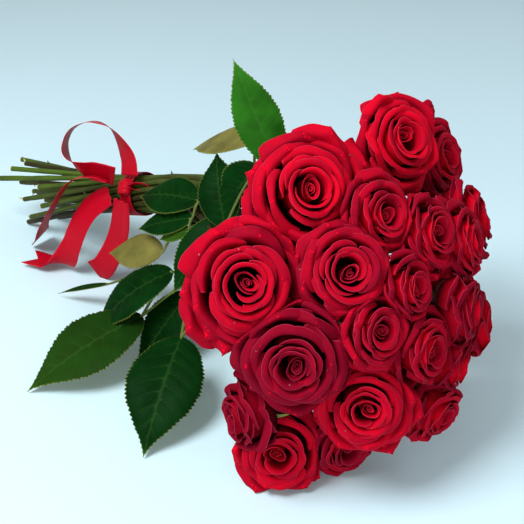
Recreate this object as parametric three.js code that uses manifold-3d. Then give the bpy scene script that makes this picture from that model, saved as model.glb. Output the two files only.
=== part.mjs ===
// A hand-tied bunch of long-stemmed red roses that lies on its side on a flat surface.
// Millimetres, +Z up. +X runs from the cut stem ends to the flowers.
// The flowers sit on the shell of a squashed dome, the stems cross in a spiral at the tie,
// and a satin ribbon is wrapped and knotted round them there.

import * as THREE from "three";
import { mergeVertices } from "three/addons/utils/BufferGeometryUtils.js";
import Module from "manifold-3d";

const wasm = await Module();
wasm.setup();

// ---------------------------------------------------------------- driving dimensions

const GAP = 0.4; // clearance that touching pieces keep
const ABOVE_SURFACE = 0.2; // lowest that leaves and ribbon reach: the flowers carry the weight

const DOME_HEIGHT = 120; // centre of the dome of flowers above the surface
const DOME_FORWARD = 130; // half sizes of the shell that the flower eyes sit on
const DOME_ACROSS = 165;
const DOME_UP = 140;

const STEM_DIAMETER = 6.2;
const STEM_SIDES = 6;
const STEM_STEPS = 22;
const STEM_SPACING = STEM_DIAMETER + 0.6; // centre to centre of neighbouring stems in the tie
const INNER_STEMS = 7; // stems in the middle of the bundle, the rest stand round them
const TAIL_SPREAD_INNER = 0.06; // how fast a stem leaves the bundle's axis behind the tie
const TAIL_SPREAD_OUTER = 0.17;
const TAIL_SHORTEST = 140; // tie to cut end
const TAIL_LONGEST = 215;
const STEM_CLEARANCE = 2.5; // between stems that bend past each other
const TWIST_INNER = 0.15; // radians that each ring of stems is turned by in the tie
const TWIST_OUTER = 0.35;
const TIE_AHEAD = 30; // a stem is straight this far to either side of the tie
const TIE_BEHIND = 25;
const TAIL_PARTS = [-1, -0.75, -0.5, -0.3]; // places along the cut end, as shares of its length
const BEND_START = 0.4; // how long a stem keeps its direction out of the tie, as a share of the bend
const BEND_END = 0.3; // and its flower's direction
const NECK_LENGTH = 28; // the last stretch of stem, which lies in the flower's own direction
const BEND_POINTS = 12; // points of a stem between the tie and its neck
const SETTLING_ROUNDS = 120;

const TIE = new THREE.Vector3(-302, 20, 97); // where all stems cross
const TAIL_DIRECTION = new THREE.Vector3(-0.93, -0.1, -0.31).normalize();

const RIBBON_WIDTH = 28;
const BOW_RIBBON = 28; // width of ribbon that the bow's routes are given for
const BOW_SPREAD = RIBBON_WIDTH / BOW_RIBBON; // a wider ribbon makes a wider bow
const RIBBON_THICKNESS = 1;
const WRAP_WIDTH = 26;
const WRAP_THICKNESS = 1.6; // two turns of ribbon
const KNOT_SIZE = 15;
const KNOT_FORWARD = 8; // from the middle of the wrap towards the flowers
const KNOT_PROUD = 3; // its centre above the wrap
const LOOP_STEPS = 28;
const TAIL_STEPS = 20;
const ROUND_SIDES = 24; // sides of the wrap

const LEAF_THICKNESS = 1;
const STALK_DIAMETER = 2;
const STALK_RISE = 4; // how high a stalk bows
const STALK_IN_BLADE = 0.06; // how far it runs along its blade, as a share of the blade

const PETAL_RED = 0xb5001c;
const PETAL_BURGUNDY = 0x7d0a22; // the outer petals of the flower that is going over
const STEM_GREEN = 0x5d7a2a;
const LEAF_GREEN = 0x12501a;
const LEAF_BRIGHT = 0x3c8a2a;
const LEAF_OLIVE = 0x8f9a50;
const RIBBON_RED = 0xb80a26;
const PETAL_ROUGHNESS = 0.7;
const STEM_ROUGHNESS = 0.6;
const LEAF_ROUGHNESS = 0.45;
const RIBBON_ROUGHNESS = 0.35;

// ---------------------------------------------------------------- the roses

// around: place round the dome, degrees from straight up towards +Y.
// out: degrees from the dome's pole. reach: share of the shell's radius.
// width: across the open flower. heading and pitch: where it faces, degrees from +X
// towards +Y, and above the horizontal.
const ROSES = [
  { around: -18, out: 87, reach: 1, width: 97, heading: -32, pitch: 38 },
  { around: -53, out: 85, reach: 1, width: 98, heading: -42, pitch: 34 },
  { around: -34, out: 58, reach: 1, width: 82, heading: -38, pitch: 38 },
  { around: -74, out: 60, reach: 1, width: 96, heading: -52, pitch: 14 },
  { around: -125, out: 70, reach: 1.04, width: 86, heading: -48, pitch: 16 },
  { around: -98, out: 36, reach: 1, width: 80, heading: -48, pitch: 24 },
  { around: -49, out: 37, reach: 1, width: 68, heading: -16, pitch: 24 },
  { around: 22, out: 83, reach: 1.08, width: 88, heading: -10, pitch: 36 },
  { around: 52, out: 84, reach: 1.08, width: 82, heading: 10, pitch: 28 },
  { around: -9, out: 61, reach: 1, width: 70, heading: -8, pitch: 32 },
  { around: 6, out: 46, reach: 1, width: 70, heading: 8, pitch: 28 },
  { around: 32, out: 40, reach: 1, width: 70, heading: 24, pitch: 20 },
  { around: -21, out: 36, reach: 1, width: 58, heading: 8, pitch: 24 },
  { around: -51, out: 15, reach: 1, width: 70, heading: 0, pitch: 12 },
  { around: 35, out: 16, reach: 1, width: 66, heading: 30, pitch: 6 },
  { around: 147, out: 8, reach: 1, width: 60, heading: 24, pitch: -6 },
  { around: -165, out: 22, reach: 1.11, width: 66, heading: -6, pitch: -8 },
  { around: 58, out: 56, reach: 1, width: 74, heading: 40, pitch: 20 },
  { around: -110, out: 87, reach: 0.97, width: 66, heading: -112, pitch: 0, dark: true },
  { around: 154, out: 48, reach: 0.9, width: 82, heading: 22, pitch: -2 },
  { around: 102, out: 65, reach: 0.92, width: 84, heading: 62, pitch: 8 },
  { around: 102, out: 32, reach: 0.95, width: 72, heading: 48, pitch: 2 },
  { around: -142, out: 51, reach: 1, width: 74, heading: -24, pitch: -2 },
];

// Half outline of a flower, as shares of its width: distance from its axis, height above its eye.
const HEAD_OUTLINE = [
  [0, -0.64],
  [0.12, -0.63],
  [0.33, -0.48],
  [0.47, -0.28],
  [0.5, -0.1],
  [0.38, 0.02],
  [0, 0.04],
];
const HEAD_SIDES = 12;
const HEAD_DEPTH = 0.64; // from eye to receptacle, as in the outline
const HEAD_MIDDLE = 0.22; // from eye to the middle of the flower
const NEIGHBOUR_REACH = 0.62; // flowers nearer than this share of their joint width press together

// ---------------------------------------------------------------- solids

// A mesh geometry as a manifold solid, and back.
function solidOf(geometry) {
  const bare = geometry.clone();
  bare.deleteAttribute("normal");
  bare.deleteAttribute("uv");
  const merged = mergeVertices(bare, 1e-4);
  const mesh = new wasm.Mesh({
    numProp: 3,
    vertProperties: merged.attributes.position.array,
    triVerts: new Uint32Array(merged.index.array),
  });
  return new wasm.Manifold(mesh);
}

function geometryOf(solid) {
  const mesh = solid.getMesh();
  const geometry = new THREE.BufferGeometry();
  geometry.setAttribute("position", new THREE.BufferAttribute(mesh.vertProperties, 3));
  geometry.setIndex(new THREE.BufferAttribute(mesh.triVerts, 1));
  geometry.computeVertexNormals();
  return geometry;
}

// A polygon of n sides as a shape to extrude.
function polygon(radius, sides) {
  const points = [];
  for (let i = 0; i < sides; i++) {
    const turn = (i / sides) * Math.PI * 2;
    points.push(new THREE.Vector2(radius * Math.cos(turn), radius * Math.sin(turn)));
  }
  return new THREE.Shape(points);
}

// A round rod along a list of points.
function rod(points, diameter, sides, steps) {
  const path = new THREE.CatmullRomCurve3(points, false, "centripetal");
  return new THREE.ExtrudeGeometry(polygon(diameter / 2, sides), { steps, extrudePath: path });
}

// A closed skin round a strip of paired rails: each station is [left, right] on the top side,
// and the underside lies thickness below it along that station's normal.
function strip(stations, normals, thickness) {
  const positions = [];
  const index = [];
  const across = stations[0].length;
  stations.forEach((station, i) => {
    station.forEach((p) => positions.push(p.x, p.y, p.z));
    station.forEach((p) => {
      const q = p.clone().addScaledVector(normals[i], -thickness);
      positions.push(q.x, q.y, q.z);
    });
  });
  const ring = across * 2;
  const order = [];
  for (let j = 0; j < across; j++) order.push(j);
  for (let j = across - 1; j >= 0; j--) order.push(across + j);
  for (let i = 0; i < stations.length - 1; i++) {
    for (let j = 0; j < ring; j++) {
      const a = i * ring + order[j];
      const b = i * ring + order[(j + 1) % ring];
      const c = a + ring;
      const d = b + ring;
      index.push(a, b, d, a, d, c);
    }
  }
  const last = (stations.length - 1) * ring;
  for (let j = 0; j < across - 1; j++) {
    const a = j;
    const b = j + 1;
    index.push(a, across + a, across + b, a, across + b, b);
    const [e, f] = [last + a, last + b];
    index.push(e, across + f, across + e, e, f, across + f);
  }
  const geometry = new THREE.BufferGeometry();
  geometry.setAttribute("position", new THREE.Float32BufferAttribute(positions, 3));
  geometry.setIndex(index);
  if (signedVolume(geometry) < 0) {
    for (let i = 0; i < index.length; i += 3) {
      [index[i + 1], index[i + 2]] = [index[i + 2], index[i + 1]];
    }
    geometry.setIndex(index);
  }
  geometry.computeVertexNormals();
  return geometry;
}

function signedVolume(geometry) {
  const p = geometry.attributes.position;
  const [a, b, c] = [new THREE.Vector3(), new THREE.Vector3(), new THREE.Vector3()];
  let six = 0;
  for (let i = 0; i < geometry.index.count; i += 3) {
    a.fromBufferAttribute(p, geometry.index.getX(i));
    b.fromBufferAttribute(p, geometry.index.getX(i + 1));
    c.fromBufferAttribute(p, geometry.index.getX(i + 2));
    six += a.dot(b.cross(c));
  }
  return six;
}

const bunch = new THREE.Group();

function addPiece(name, geometry, color, roughness) {
  const material = new THREE.MeshStandardMaterial({ color, roughness, metalness: 0 });
  const mesh = new THREE.Mesh(geometry, material);
  mesh.name = name;
  bunch.add(mesh);
}

// ---------------------------------------------------------------- flower places

const radians = THREE.MathUtils.degToRad;

function place(rose) {
  const out = radians(rose.out);
  const around = radians(rose.around);
  const eye = new THREE.Vector3(
    DOME_FORWARD * Math.cos(out),
    DOME_ACROSS * Math.sin(out) * Math.sin(around),
    DOME_UP * Math.sin(out) * Math.cos(around),
  );
  eye.multiplyScalar(rose.reach);
  eye.z += DOME_HEIGHT;
  const heading = radians(rose.heading);
  const pitch = radians(rose.pitch);
  const face = new THREE.Vector3(
    Math.cos(pitch) * Math.cos(heading),
    Math.cos(pitch) * Math.sin(heading),
    Math.sin(pitch),
  );
  const base = eye.clone().addScaledVector(face, -HEAD_DEPTH * rose.width - GAP);
  const middle = eye.clone().addScaledVector(face, -HEAD_MIDDLE * rose.width);
  return { ...rose, eye, face, base, middle };
}

const roses = ROSES.map(place);
const number = (i) => String(i + 1).padStart(2, "0");

// ---------------------------------------------------------------- stems

// The bundle's own directions at the tie: along it, and two across it.
const axis = TAIL_DIRECTION.clone().negate();
const sideways = new THREE.Vector3(0, 0, 1).cross(axis).normalize();
const upward = axis.clone().cross(sideways);

function roundTie(radius, turn) {
  const across = sideways.clone().multiplyScalar(radius * Math.sin(turn));
  return across.addScaledVector(upward, radius * Math.cos(turn));
}

// Flowers nearest the pole take the middle of the bundle, the others the ring round it,
// each ring in the order that its flowers have round the dome.
const byOut = roses.map((rose, i) => ({ i, out: Math.hypot(rose.eye.y, rose.eye.z - DOME_HEIGHT) }));
byOut.sort((a, b) => a.out - b.out);
const middleStem = byOut[0].i;
const innerRing = byOut.slice(1, INNER_STEMS).map((r) => r.i);
const outerRing = byOut.slice(INNER_STEMS).map((r) => r.i);
const angleOf = (i) => Math.atan2(roses[i].eye.y, roses[i].eye.z - DOME_HEIGHT);

function ringSeats(members, radius, spread, twist) {
  const ordered = [...members].sort((a, b) => angleOf(a) - angleOf(b));
  const step = (Math.PI * 2) / ordered.length;
  const mean = ordered.reduce((sum, i, k) => sum + angleOf(i) - k * step, 0) / ordered.length;
  return ordered.map((i, k) => ({ i, turn: mean + k * step - twist, radius, spread }));
}

const innerRadius = STEM_SPACING;
const outerRadius = STEM_SPACING / (2 * Math.sin(Math.PI / outerRing.length));
const seats = [
  { i: middleStem, turn: 0, radius: 0, spread: 0 },
  ...ringSeats(innerRing, innerRadius, TAIL_SPREAD_INNER, TWIST_INNER),
  ...ringSeats(outerRing, outerRadius, TAIL_SPREAD_OUTER, TWIST_OUTER),
];

// Behind the tie a stem is straight: it passes its seat at a slant, so the bundle has a waist.
function onTail(seat, along) {
  const slant = roundTie(seat.spread * along, seat.turn + Math.PI / 2);
  const point = TIE.clone().addScaledVector(axis, along);
  point.add(roundTie(seat.radius, seat.turn)).add(slant);
  point.z = Math.max(point.z, STEM_DIAMETER / 2 + GAP);
  return point;
}

// The route of each stem: straight through the tie, then one bend to the back of its flower.
const routes = seats.map((seat) => {
  const rose = roses[seat.i];
  const share = ((seat.i * 7) % 10) / 9;
  const tail = THREE.MathUtils.lerp(TAIL_SHORTEST, TAIL_LONGEST, share);
  const start = onTail(seat, TIE_AHEAD);
  const startDirection = start.clone().sub(onTail(seat, 0)).normalize();
  const neck = rose.base.clone().addScaledVector(rose.face, -NECK_LENGTH);
  const span = start.distanceTo(neck);
  const bend = new THREE.CubicBezierCurve3(
    start,
    start.clone().addScaledVector(startDirection, span * BEND_START),
    neck.clone().addScaledVector(rose.face, -span * BEND_END),
    neck,
  );
  const behind = TAIL_PARTS.map((part) => onTail(seat, part * tail));
  const held = [onTail(seat, -TIE_BEHIND), onTail(seat, 0)];
  const points = [...behind, ...held, ...bend.getPoints(BEND_POINTS), rose.base];
  return { i: seat.i, points };
});

// Stems that would touch push each other aside. The ends of a bend stay where they are held.
function pushApart(first, second) {
  const line = new THREE.Line3();
  const nearest = new THREE.Vector3();
  for (let k = 0; k < first.points.length; k++) {
    const point = first.points[k];
    for (let m = 0; m < second.points.length - 1; m++) {
      line.set(second.points[m], second.points[m + 1]);
      line.closestPointToPoint(point, true, nearest);
      const apart = point.clone().sub(nearest);
      const lack = STEM_DIAMETER + STEM_CLEARANCE - apart.length();
      if (lack <= 0) continue;
      apart.normalize().multiplyScalar(lack / 2);
      if (isFree(first, k)) point.add(apart);
      if (isFree(second, m)) line.start.sub(apart);
      if (isFree(second, m + 1)) line.end.sub(apart);
    }
  }
}

const FIRST_BEND_POINT = TAIL_PARTS.length + 2; // the tail's and the tie's points come before it
const isFree = (route, k) => k > FIRST_BEND_POINT && k < route.points.length - 1;

for (let round = 0; round < SETTLING_ROUNDS; round++) {
  routes.forEach((first) => routes.forEach((second) => first !== second && pushApart(first, second)));
}

routes.sort((a, b) => a.i - b.i);
routes.forEach(({ i, points }) => {
  points.forEach((p) => (p.z = Math.max(p.z, STEM_DIAMETER / 2 + GAP)));
  const stem = rod(points, STEM_DIAMETER, STEM_SIDES, STEM_STEPS);
  addPiece("stem_" + number(i), stem, STEM_GREEN, STEM_ROUGHNESS);
});

// ---------------------------------------------------------------- flower heads

function headSolid(rose) {
  const outline = HEAD_OUTLINE.map(([r, h]) => new THREE.Vector2(r * rose.width, h * rose.width));
  const geometry = new THREE.LatheGeometry(outline, HEAD_SIDES);
  const turn = new THREE.Quaternion().setFromUnitVectors(new THREE.Vector3(0, 1, 0), rose.face);
  geometry.applyQuaternion(turn);
  geometry.translate(rose.eye.x, rose.eye.y, rose.eye.z);
  return solidOf(geometry);
}

const clearStems = routes.map(({ points }) =>
  solidOf(rod(points, STEM_DIAMETER + 2 * GAP, STEM_SIDES, STEM_STEPS)),
);

// What is left of a soft piece that is pressed aside by the pieces it lies against.
function clearOf(solid, obstacles) {
  let left = solid;
  obstacles.forEach((obstacle) => (left = left.subtract(obstacle)));
  const pieces = left.decompose().sort((a, b) => b.volume() - a.volume());
  return pieces[0];
}

// Neighbouring flowers press flat against each other where they meet.
roses.forEach((rose, i) => {
  let head = headSolid(rose);
  roses.forEach((other, j) => {
    if (i === j) return;
    const between = rose.middle.clone().sub(other.middle);
    const distance = between.length();
    if (distance > (rose.width + other.width) * NEIGHBOUR_REACH) return;
    const share = other.width / (rose.width + other.width);
    const normal = between.normalize();
    const offset = normal.dot(other.middle) + distance * share + GAP / 2;
    head = head.trimByPlane(normal.toArray(), offset);
  });
  head = head.trimByPlane([0, 0, 1], 0);
  const color = rose.dark ? PETAL_BURGUNDY : PETAL_RED;
  addPiece("rose_" + number(i), geometryOf(clearOf(head, clearStems)), color, PETAL_ROUGHNESS);
});

// ---------------------------------------------------------------- leaves

// Each leaf is a stalk that leaves a stem and runs on from the base of one blade to the next.
// facing: the way a blade's upper side looks. arch: how far its middle bulges that way.
const LEAVES = [
  {
    name: "leaf_front",
    color: LEAF_GREEN,
    stalk: [-138, -34, 96],
    blades: [
      { base: [-183, -82, 46], tip: [-218, -202, 3], width: 72, facing: [0.05, -0.25, 1], arch: 8 },
      { base: [-176, -44, 84], tip: [-225, -114, 20], width: 64, facing: [-0.2, -0.35, 1], arch: 10 },
      { base: [-262, -60, 36], tip: [-324, -85, 6], width: 9, facing: [0, -0.2, 1], arch: 2 },
    ],
  },
  {
    name: "leaf_low",
    color: LEAF_GREEN,
    stalk: [-120, -30, 82],
    blades: [
      { base: [-118, -88, 58], tip: [-70, -183, 3], width: 70, facing: [0.25, -0.35, 0.9], arch: 10 },
      { base: [-160, -36, 62], tip: [-167, -107, 3], width: 50, facing: [0.1, -0.3, 1], arch: 5 },
    ],
  },
  {
    name: "leaf_upright",
    color: LEAF_BRIGHT,
    stalk: [-112, 6, 150],
    blades: [{ base: [-84, 8, 216], tip: [-143, 13, 300], width: 46, facing: [0.5, -0.65, 0.35], arch: 6 }],
  },
  {
    name: "leaf_back",
    color: LEAF_OLIVE,
    stalk: [-130, 26, 150],
    blades: [
      { base: [-128, 24, 220], tip: [-226, 36, 172], width: 44, facing: [0.15, -0.3, 0.9], arch: 8 },
    ],
  },
  {
    name: "leaf_dark_three",
    color: LEAF_GREEN,
    stalk: [-120, -12, 120],
    blades: [
      { base: [-122, -22, 150], tip: [-166, 12, 200], width: 46, facing: [0.2, -0.75, 0.5], arch: 5 },
      { base: [-110, 10, 206], tip: [-138, -8, 156], width: 44, facing: [0.3, -0.75, 0.4], arch: 5 },
      { base: [-146, -4, 142], tip: [-152, -66, 80], width: 42, facing: [0.2, -0.7, 0.6], arch: 6 },
    ],
  },
  {
    name: "leaf_by_tie",
    color: LEAF_GREEN,
    stalk: [-150, -4, 118],
    blades: [
      { base: [-176, -4, 148], tip: [-264, -8, 120], width: 44, facing: [0.1, -0.5, 0.9], arch: 8 },
      { base: [-174, -16, 135], tip: [-242, -32, 100], width: 30, facing: [0.1, -0.6, 0.8], arch: 4 },
      { base: [-172, -24, 124], tip: [-208, -32, 102], width: 17, facing: [0.1, -0.6, 0.8], arch: 3 },
    ],
  },
  {
    name: "leaf_pale",
    color: LEAF_OLIVE,
    stalk: [-200, -10, 108],
    blades: [{ base: [-210, -27, 84], tip: [-276, -46, 62], width: 40, facing: [0.1, -0.5, 0.8], arch: 4 }],
  },
  {
    name: "leaf_far_high",
    color: LEAF_GREEN,
    stalk: [-140, 46, 122],
    blades: [
      { base: [-140, 76, 150], tip: [-176, 158, 110], width: 58, facing: [-0.1, 0.4, 0.9], arch: 9 },
      { base: [-166, 58, 148], tip: [-240, 88, 126], width: 50, facing: [-0.1, 0.2, 1], arch: 7 },
    ],
  },
  {
    name: "leaf_far_low",
    color: LEAF_GREEN,
    stalk: [-130, 40, 88],
    blades: [
      { base: [-136, 72, 56], tip: [-150, 168, 4], width: 62, facing: [0, 0.4, 0.9], arch: 9 },
      { base: [-184, 58, 62], tip: [-246, 118, 4], width: 52, facing: [-0.2, 0.35, 0.9], arch: 8 },
    ],
  },
];

const BLADE_STATIONS = 7;
const BLADE_FOLD = 0.12; // how far the blade's sides rise from its midrib, as a share of its half width
const BLADE_TIP_WIDTH = 1;

// Half width along a rose leaf blade: broadest just below the middle, drawn out to a point.
function bladeHalfWidth(width, along) {
  const swell = Math.pow(Math.sin(Math.PI * Math.pow(along, 0.82)), 0.8);
  return Math.max(BLADE_TIP_WIDTH / 2, (width / 2) * swell);
}

function bladeGeometry(blade) {
  const base = new THREE.Vector3(...blade.base);
  const tip = new THREE.Vector3(...blade.tip);
  const facing = new THREE.Vector3(...blade.facing).normalize();
  const middle = base.clone().lerp(tip, 0.5).addScaledVector(facing, blade.arch * 2);
  const rib = new THREE.QuadraticBezierCurve3(base, middle, tip);
  const stations = [];
  const normals = [];
  for (let i = 0; i < BLADE_STATIONS; i++) {
    const along = i / (BLADE_STATIONS - 1);
    const tangent = rib.getTangent(along);
    const aside = tangent.clone().cross(facing).normalize();
    const normal = aside.clone().cross(tangent).normalize();
    const half = bladeHalfWidth(blade.width, Math.min(Math.max(along, 0.001), 0.999));
    const centre = rib.getPoint(along);
    const rise = BLADE_FOLD * half;
    stations.push([
      centre.clone().addScaledVector(aside, -half).addScaledVector(normal, rise),
      centre.clone(),
      centre.clone().addScaledVector(aside, half).addScaledVector(normal, rise),
    ]);
    normals.push(normal);
  }
  return strip(stations, normals, LEAF_THICKNESS);
}

function stalkGeometry(from, blade) {
  const base = new THREE.Vector3(...blade.base);
  const tip = new THREE.Vector3(...blade.tip);
  const inside = base.clone().lerp(tip, STALK_IN_BLADE);
  const middle = from.clone().lerp(base, 0.5);
  middle.z += STALK_RISE;
  return rod([from, middle, base, inside], STALK_DIAMETER, 5, 6);
}

const clearHeads = roses.map((rose) => headSolid({ ...rose, width: rose.width + 2 * GAP }));

LEAVES.forEach((leaf) => {
  let from = new THREE.Vector3(...leaf.stalk);
  let solid = null;
  leaf.blades.forEach((blade) => {
    const joined = solidOf(bladeGeometry(blade)).add(solidOf(stalkGeometry(from, blade)));
    solid = solid ? solid.add(joined) : joined;
    from = new THREE.Vector3(...blade.base);
  });
  solid = solid.trimByPlane([0, 0, 1], ABOVE_SURFACE);
  const clear = clearOf(solid, [...clearStems, ...clearHeads]);
  addPiece(leaf.name, geometryOf(clear), leaf.color, LEAF_ROUGHNESS);
});

// ---------------------------------------------------------------- ribbon

// The band round the stems, with the knot on its near, upper side.
const bundleRadius = outerRadius + STEM_DIAMETER / 2;
const waistGrowth = Math.hypot(outerRadius, (TAIL_SPREAD_OUTER * WRAP_WIDTH) / 2) - outerRadius;
const wrapInside = bundleRadius + waistGrowth + 2 * GAP;
const wrapOutside = wrapInside + WRAP_THICKNESS;
const towardsKnot = new THREE.Vector3(0, -0.78, 0.63);
towardsKnot.addScaledVector(axis, -towardsKnot.dot(axis)).normalize();
const KNOT = TIE.clone().addScaledVector(axis, KNOT_FORWARD);
KNOT.addScaledVector(towardsKnot, wrapOutside + KNOT_PROUD);

const alongBand = new THREE.Quaternion().setFromUnitVectors(new THREE.Vector3(0, 1, 0), axis);
const band = new THREE.LatheGeometry(
  [
    new THREE.Vector2(wrapInside, -WRAP_WIDTH / 2),
    new THREE.Vector2(wrapOutside, -WRAP_WIDTH / 2),
    new THREE.Vector2(wrapOutside, WRAP_WIDTH / 2),
    new THREE.Vector2(wrapInside, WRAP_WIDTH / 2),
    new THREE.Vector2(wrapInside, -WRAP_WIDTH / 2),
  ],
  ROUND_SIDES,
);
band.applyQuaternion(alongBand);
band.translate(TIE.x, TIE.y, TIE.z);
const knotBall = new THREE.SphereGeometry(KNOT_SIZE / 2, 10, 6);
knotBall.translate(KNOT.x, KNOT.y, KNOT.z);
const core = new THREE.CylinderGeometry(wrapInside, wrapInside, WRAP_WIDTH * 2, ROUND_SIDES);
core.applyQuaternion(alongBand);
core.translate(TIE.x, TIE.y, TIE.z);
const wrap = solidOf(band).add(solidOf(knotBall).subtract(solidOf(core)));
addPiece("ribbon_wrap", geometryOf(wrap), RIBBON_RED, RIBBON_ROUGHNESS);

// A length of ribbon along a route, its width lying along one direction at each end.
function ribbonStrip(points, widthStart, widthEnd, steps) {
  const route = new THREE.CatmullRomCurve3(points, false, "centripetal");
  const stations = [];
  const normals = [];
  for (let i = 0; i <= steps; i++) {
    const along = i / steps;
    const centre = route.getPointAt(along);
    const tangent = route.getTangentAt(along);
    const aside = widthStart.clone().lerp(widthEnd, along * along);
    aside.addScaledVector(tangent, -aside.dot(tangent)).normalize();
    const normal = aside.clone().cross(tangent).normalize();
    const half = RIBBON_WIDTH / 2;
    const left = centre.clone().addScaledVector(aside, -half);
    const right = centre.clone().addScaledVector(aside, half);
    stations.push([left, right]);
    normals.push(normal);
  }
  return strip(stations, normals, RIBBON_THICKNESS);
}

// The bow's one loop stands up from the knot. Its outline is given across and up from the knot.
const LOOP_OUTLINE = [
  [5, 13],
  [4, 31],
  [-5, 51],
  [-17, 65],
  [-36, 70],
  [-55, 62],
  [-63, 44],
  [-58, 29],
  [-43, 20],
  [-22, 15],
  [-11, 12],
];
const LOOP_ACROSS = new THREE.Vector3(0.73, 0.68, 0);
const LOOP_WIDTH_DIRECTION = new THREE.Vector3(0.6, -0.7, 0.38).normalize();
const LOOP_UP = LOOP_WIDTH_DIRECTION.clone().cross(LOOP_ACROSS).normalize();
const loopPoints = LOOP_OUTLINE.map(([across, up]) =>
  KNOT.clone()
    .addScaledVector(LOOP_ACROSS, across * BOW_SPREAD)
    .addScaledVector(LOOP_UP, up * BOW_SPREAD),
);
const loop = ribbonStrip(loopPoints, LOOP_WIDTH_DIRECTION, LOOP_WIDTH_DIRECTION, LOOP_STEPS);
addPiece("ribbon_loop", loop, RIBBON_RED, RIBBON_ROUGHNESS);

// The tails, as places relative to the knot.
const TAILS = [
  {
    name: "ribbon_tail_thin",
    route: [[-13, -12, 7], [-26, -20, 12], [-42, -30, 8], [-53, -38, -2], [-64, -44, -20], [-80, -46, -44],
      [-100, -44, -70], [-118, -38, -92], [-132, -32, -106]],
    widths: [[0.6, -0.7, 0.38], [0.6, -0.7, 0.38]],
  },
  {
    name: "ribbon_tail_front",
    route: [[-8, -15, -7], [-20, -20, -16], [-31, -27, -28], [-38, -35, -43], [-43, -42, -60],
      [-48, -47, -77], [-58, -51, -96], [-75, -54, -106], [-94, -58, -108.2], [-112, -64, -108.4]],
    widths: [[0.95, 0.1, 0.1], [0.3, 0.95, 0]],
  },
  {
    name: "ribbon_tail_back",
    route: [[8, -13, -8], [8, -15, -24], [6, -17, -42], [1, -20, -60], [-7, -24, -80], [-17, -28, -98],
      [-29, -31, -107.5]],
    widths: [[0.95, 0.1, 0.1], [0.95, 0.3, 0]],
  },
];
TAILS.forEach((tail) => {
  const points = tail.route.map(([x, y, z]) =>
    KNOT.clone().add(new THREE.Vector3(x * BOW_SPREAD, y * BOW_SPREAD, z)),
  );
  points.forEach((p) => (p.z = Math.max(p.z, RIBBON_THICKNESS + ABOVE_SURFACE)));
  const [start, end] = tail.widths.map((w) => new THREE.Vector3(...w).normalize());
  const hanging = solidOf(ribbonStrip(points, start, end, TAIL_STEPS));
  const cut = hanging.trimByPlane([0, 0, 1], ABOVE_SURFACE);
  addPiece(tail.name, geometryOf(cut), RIBBON_RED, RIBBON_ROUGHNESS);
});

// ---------------------------------------------------------------- the part's own frame

// The origin is in the middle of the bunch's footprint, on the surface that it lies on.
const box = new THREE.Box3().setFromObject(bunch);
bunch.position.set(-(box.min.x + box.max.x) / 2, -(box.min.y + box.max.y) / 2, -box.min.z);
bunch.updateMatrixWorld(true);

export default bunch;
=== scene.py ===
"""A hand-tied bunch of long-stemmed red roses, lying on its side on a pale surface.

Metres, +Z up. +X runs from the cut stem ends to the flowers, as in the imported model.
Sizes in the tables of roses, leaves and ribbon are millimetres from the middle of the dome of flowers.
"""

import math

import bpy
import numpy as np
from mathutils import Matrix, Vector


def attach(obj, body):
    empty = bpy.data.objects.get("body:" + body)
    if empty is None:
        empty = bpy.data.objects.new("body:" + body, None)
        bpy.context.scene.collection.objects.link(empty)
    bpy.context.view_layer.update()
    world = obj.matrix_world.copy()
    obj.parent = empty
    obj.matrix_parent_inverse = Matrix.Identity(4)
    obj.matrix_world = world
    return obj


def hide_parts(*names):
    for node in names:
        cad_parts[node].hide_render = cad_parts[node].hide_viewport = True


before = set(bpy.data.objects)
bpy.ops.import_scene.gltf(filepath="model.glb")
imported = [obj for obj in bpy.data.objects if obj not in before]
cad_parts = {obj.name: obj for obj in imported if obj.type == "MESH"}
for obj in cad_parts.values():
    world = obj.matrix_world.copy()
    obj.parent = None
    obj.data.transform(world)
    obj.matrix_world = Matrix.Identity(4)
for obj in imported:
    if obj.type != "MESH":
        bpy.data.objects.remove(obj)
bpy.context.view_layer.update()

bl_info = {
    "name": "Bunch of Red Roses",
    "version": (1, 0, 0),
    "blender": (4, 5, 0),
    "location": "View3D > Sidebar > Roses",
    "description": "Petals, leaves, stems and satin ribbon round the packed model of a bunch of roses",
    "category": "Object",
}

MM = 0.001
BODY = "root"
INLAND = 5.0  # millimetres from a rim, for what has no coloured rim

# ---------------------------------------------------------------- the bunch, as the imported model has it

DOME_HEIGHT = 120  # of the middle of the dome of flowers
DOME_FORWARD = 130  # half sizes of the shell that the flowers' eyes sit on
DOME_ACROSS = 165
DOME_UP = 140
HEAD_DEPTH = 0.64  # from a flower's eye to its base, as a share of its width
HEAD_MIDDLE = 0.22  # from its eye to its middle
NEIGHBOUR_REACH = 0.62  # flowers nearer than this share of their summed widths press together
PRESS_MARGIN = 4.0  # petals this near a neighbour begin to give way
PRESS_OVERLAP = 5.0  # how far they may still reach past the plane between two flowers
GAP = 0.4

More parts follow.
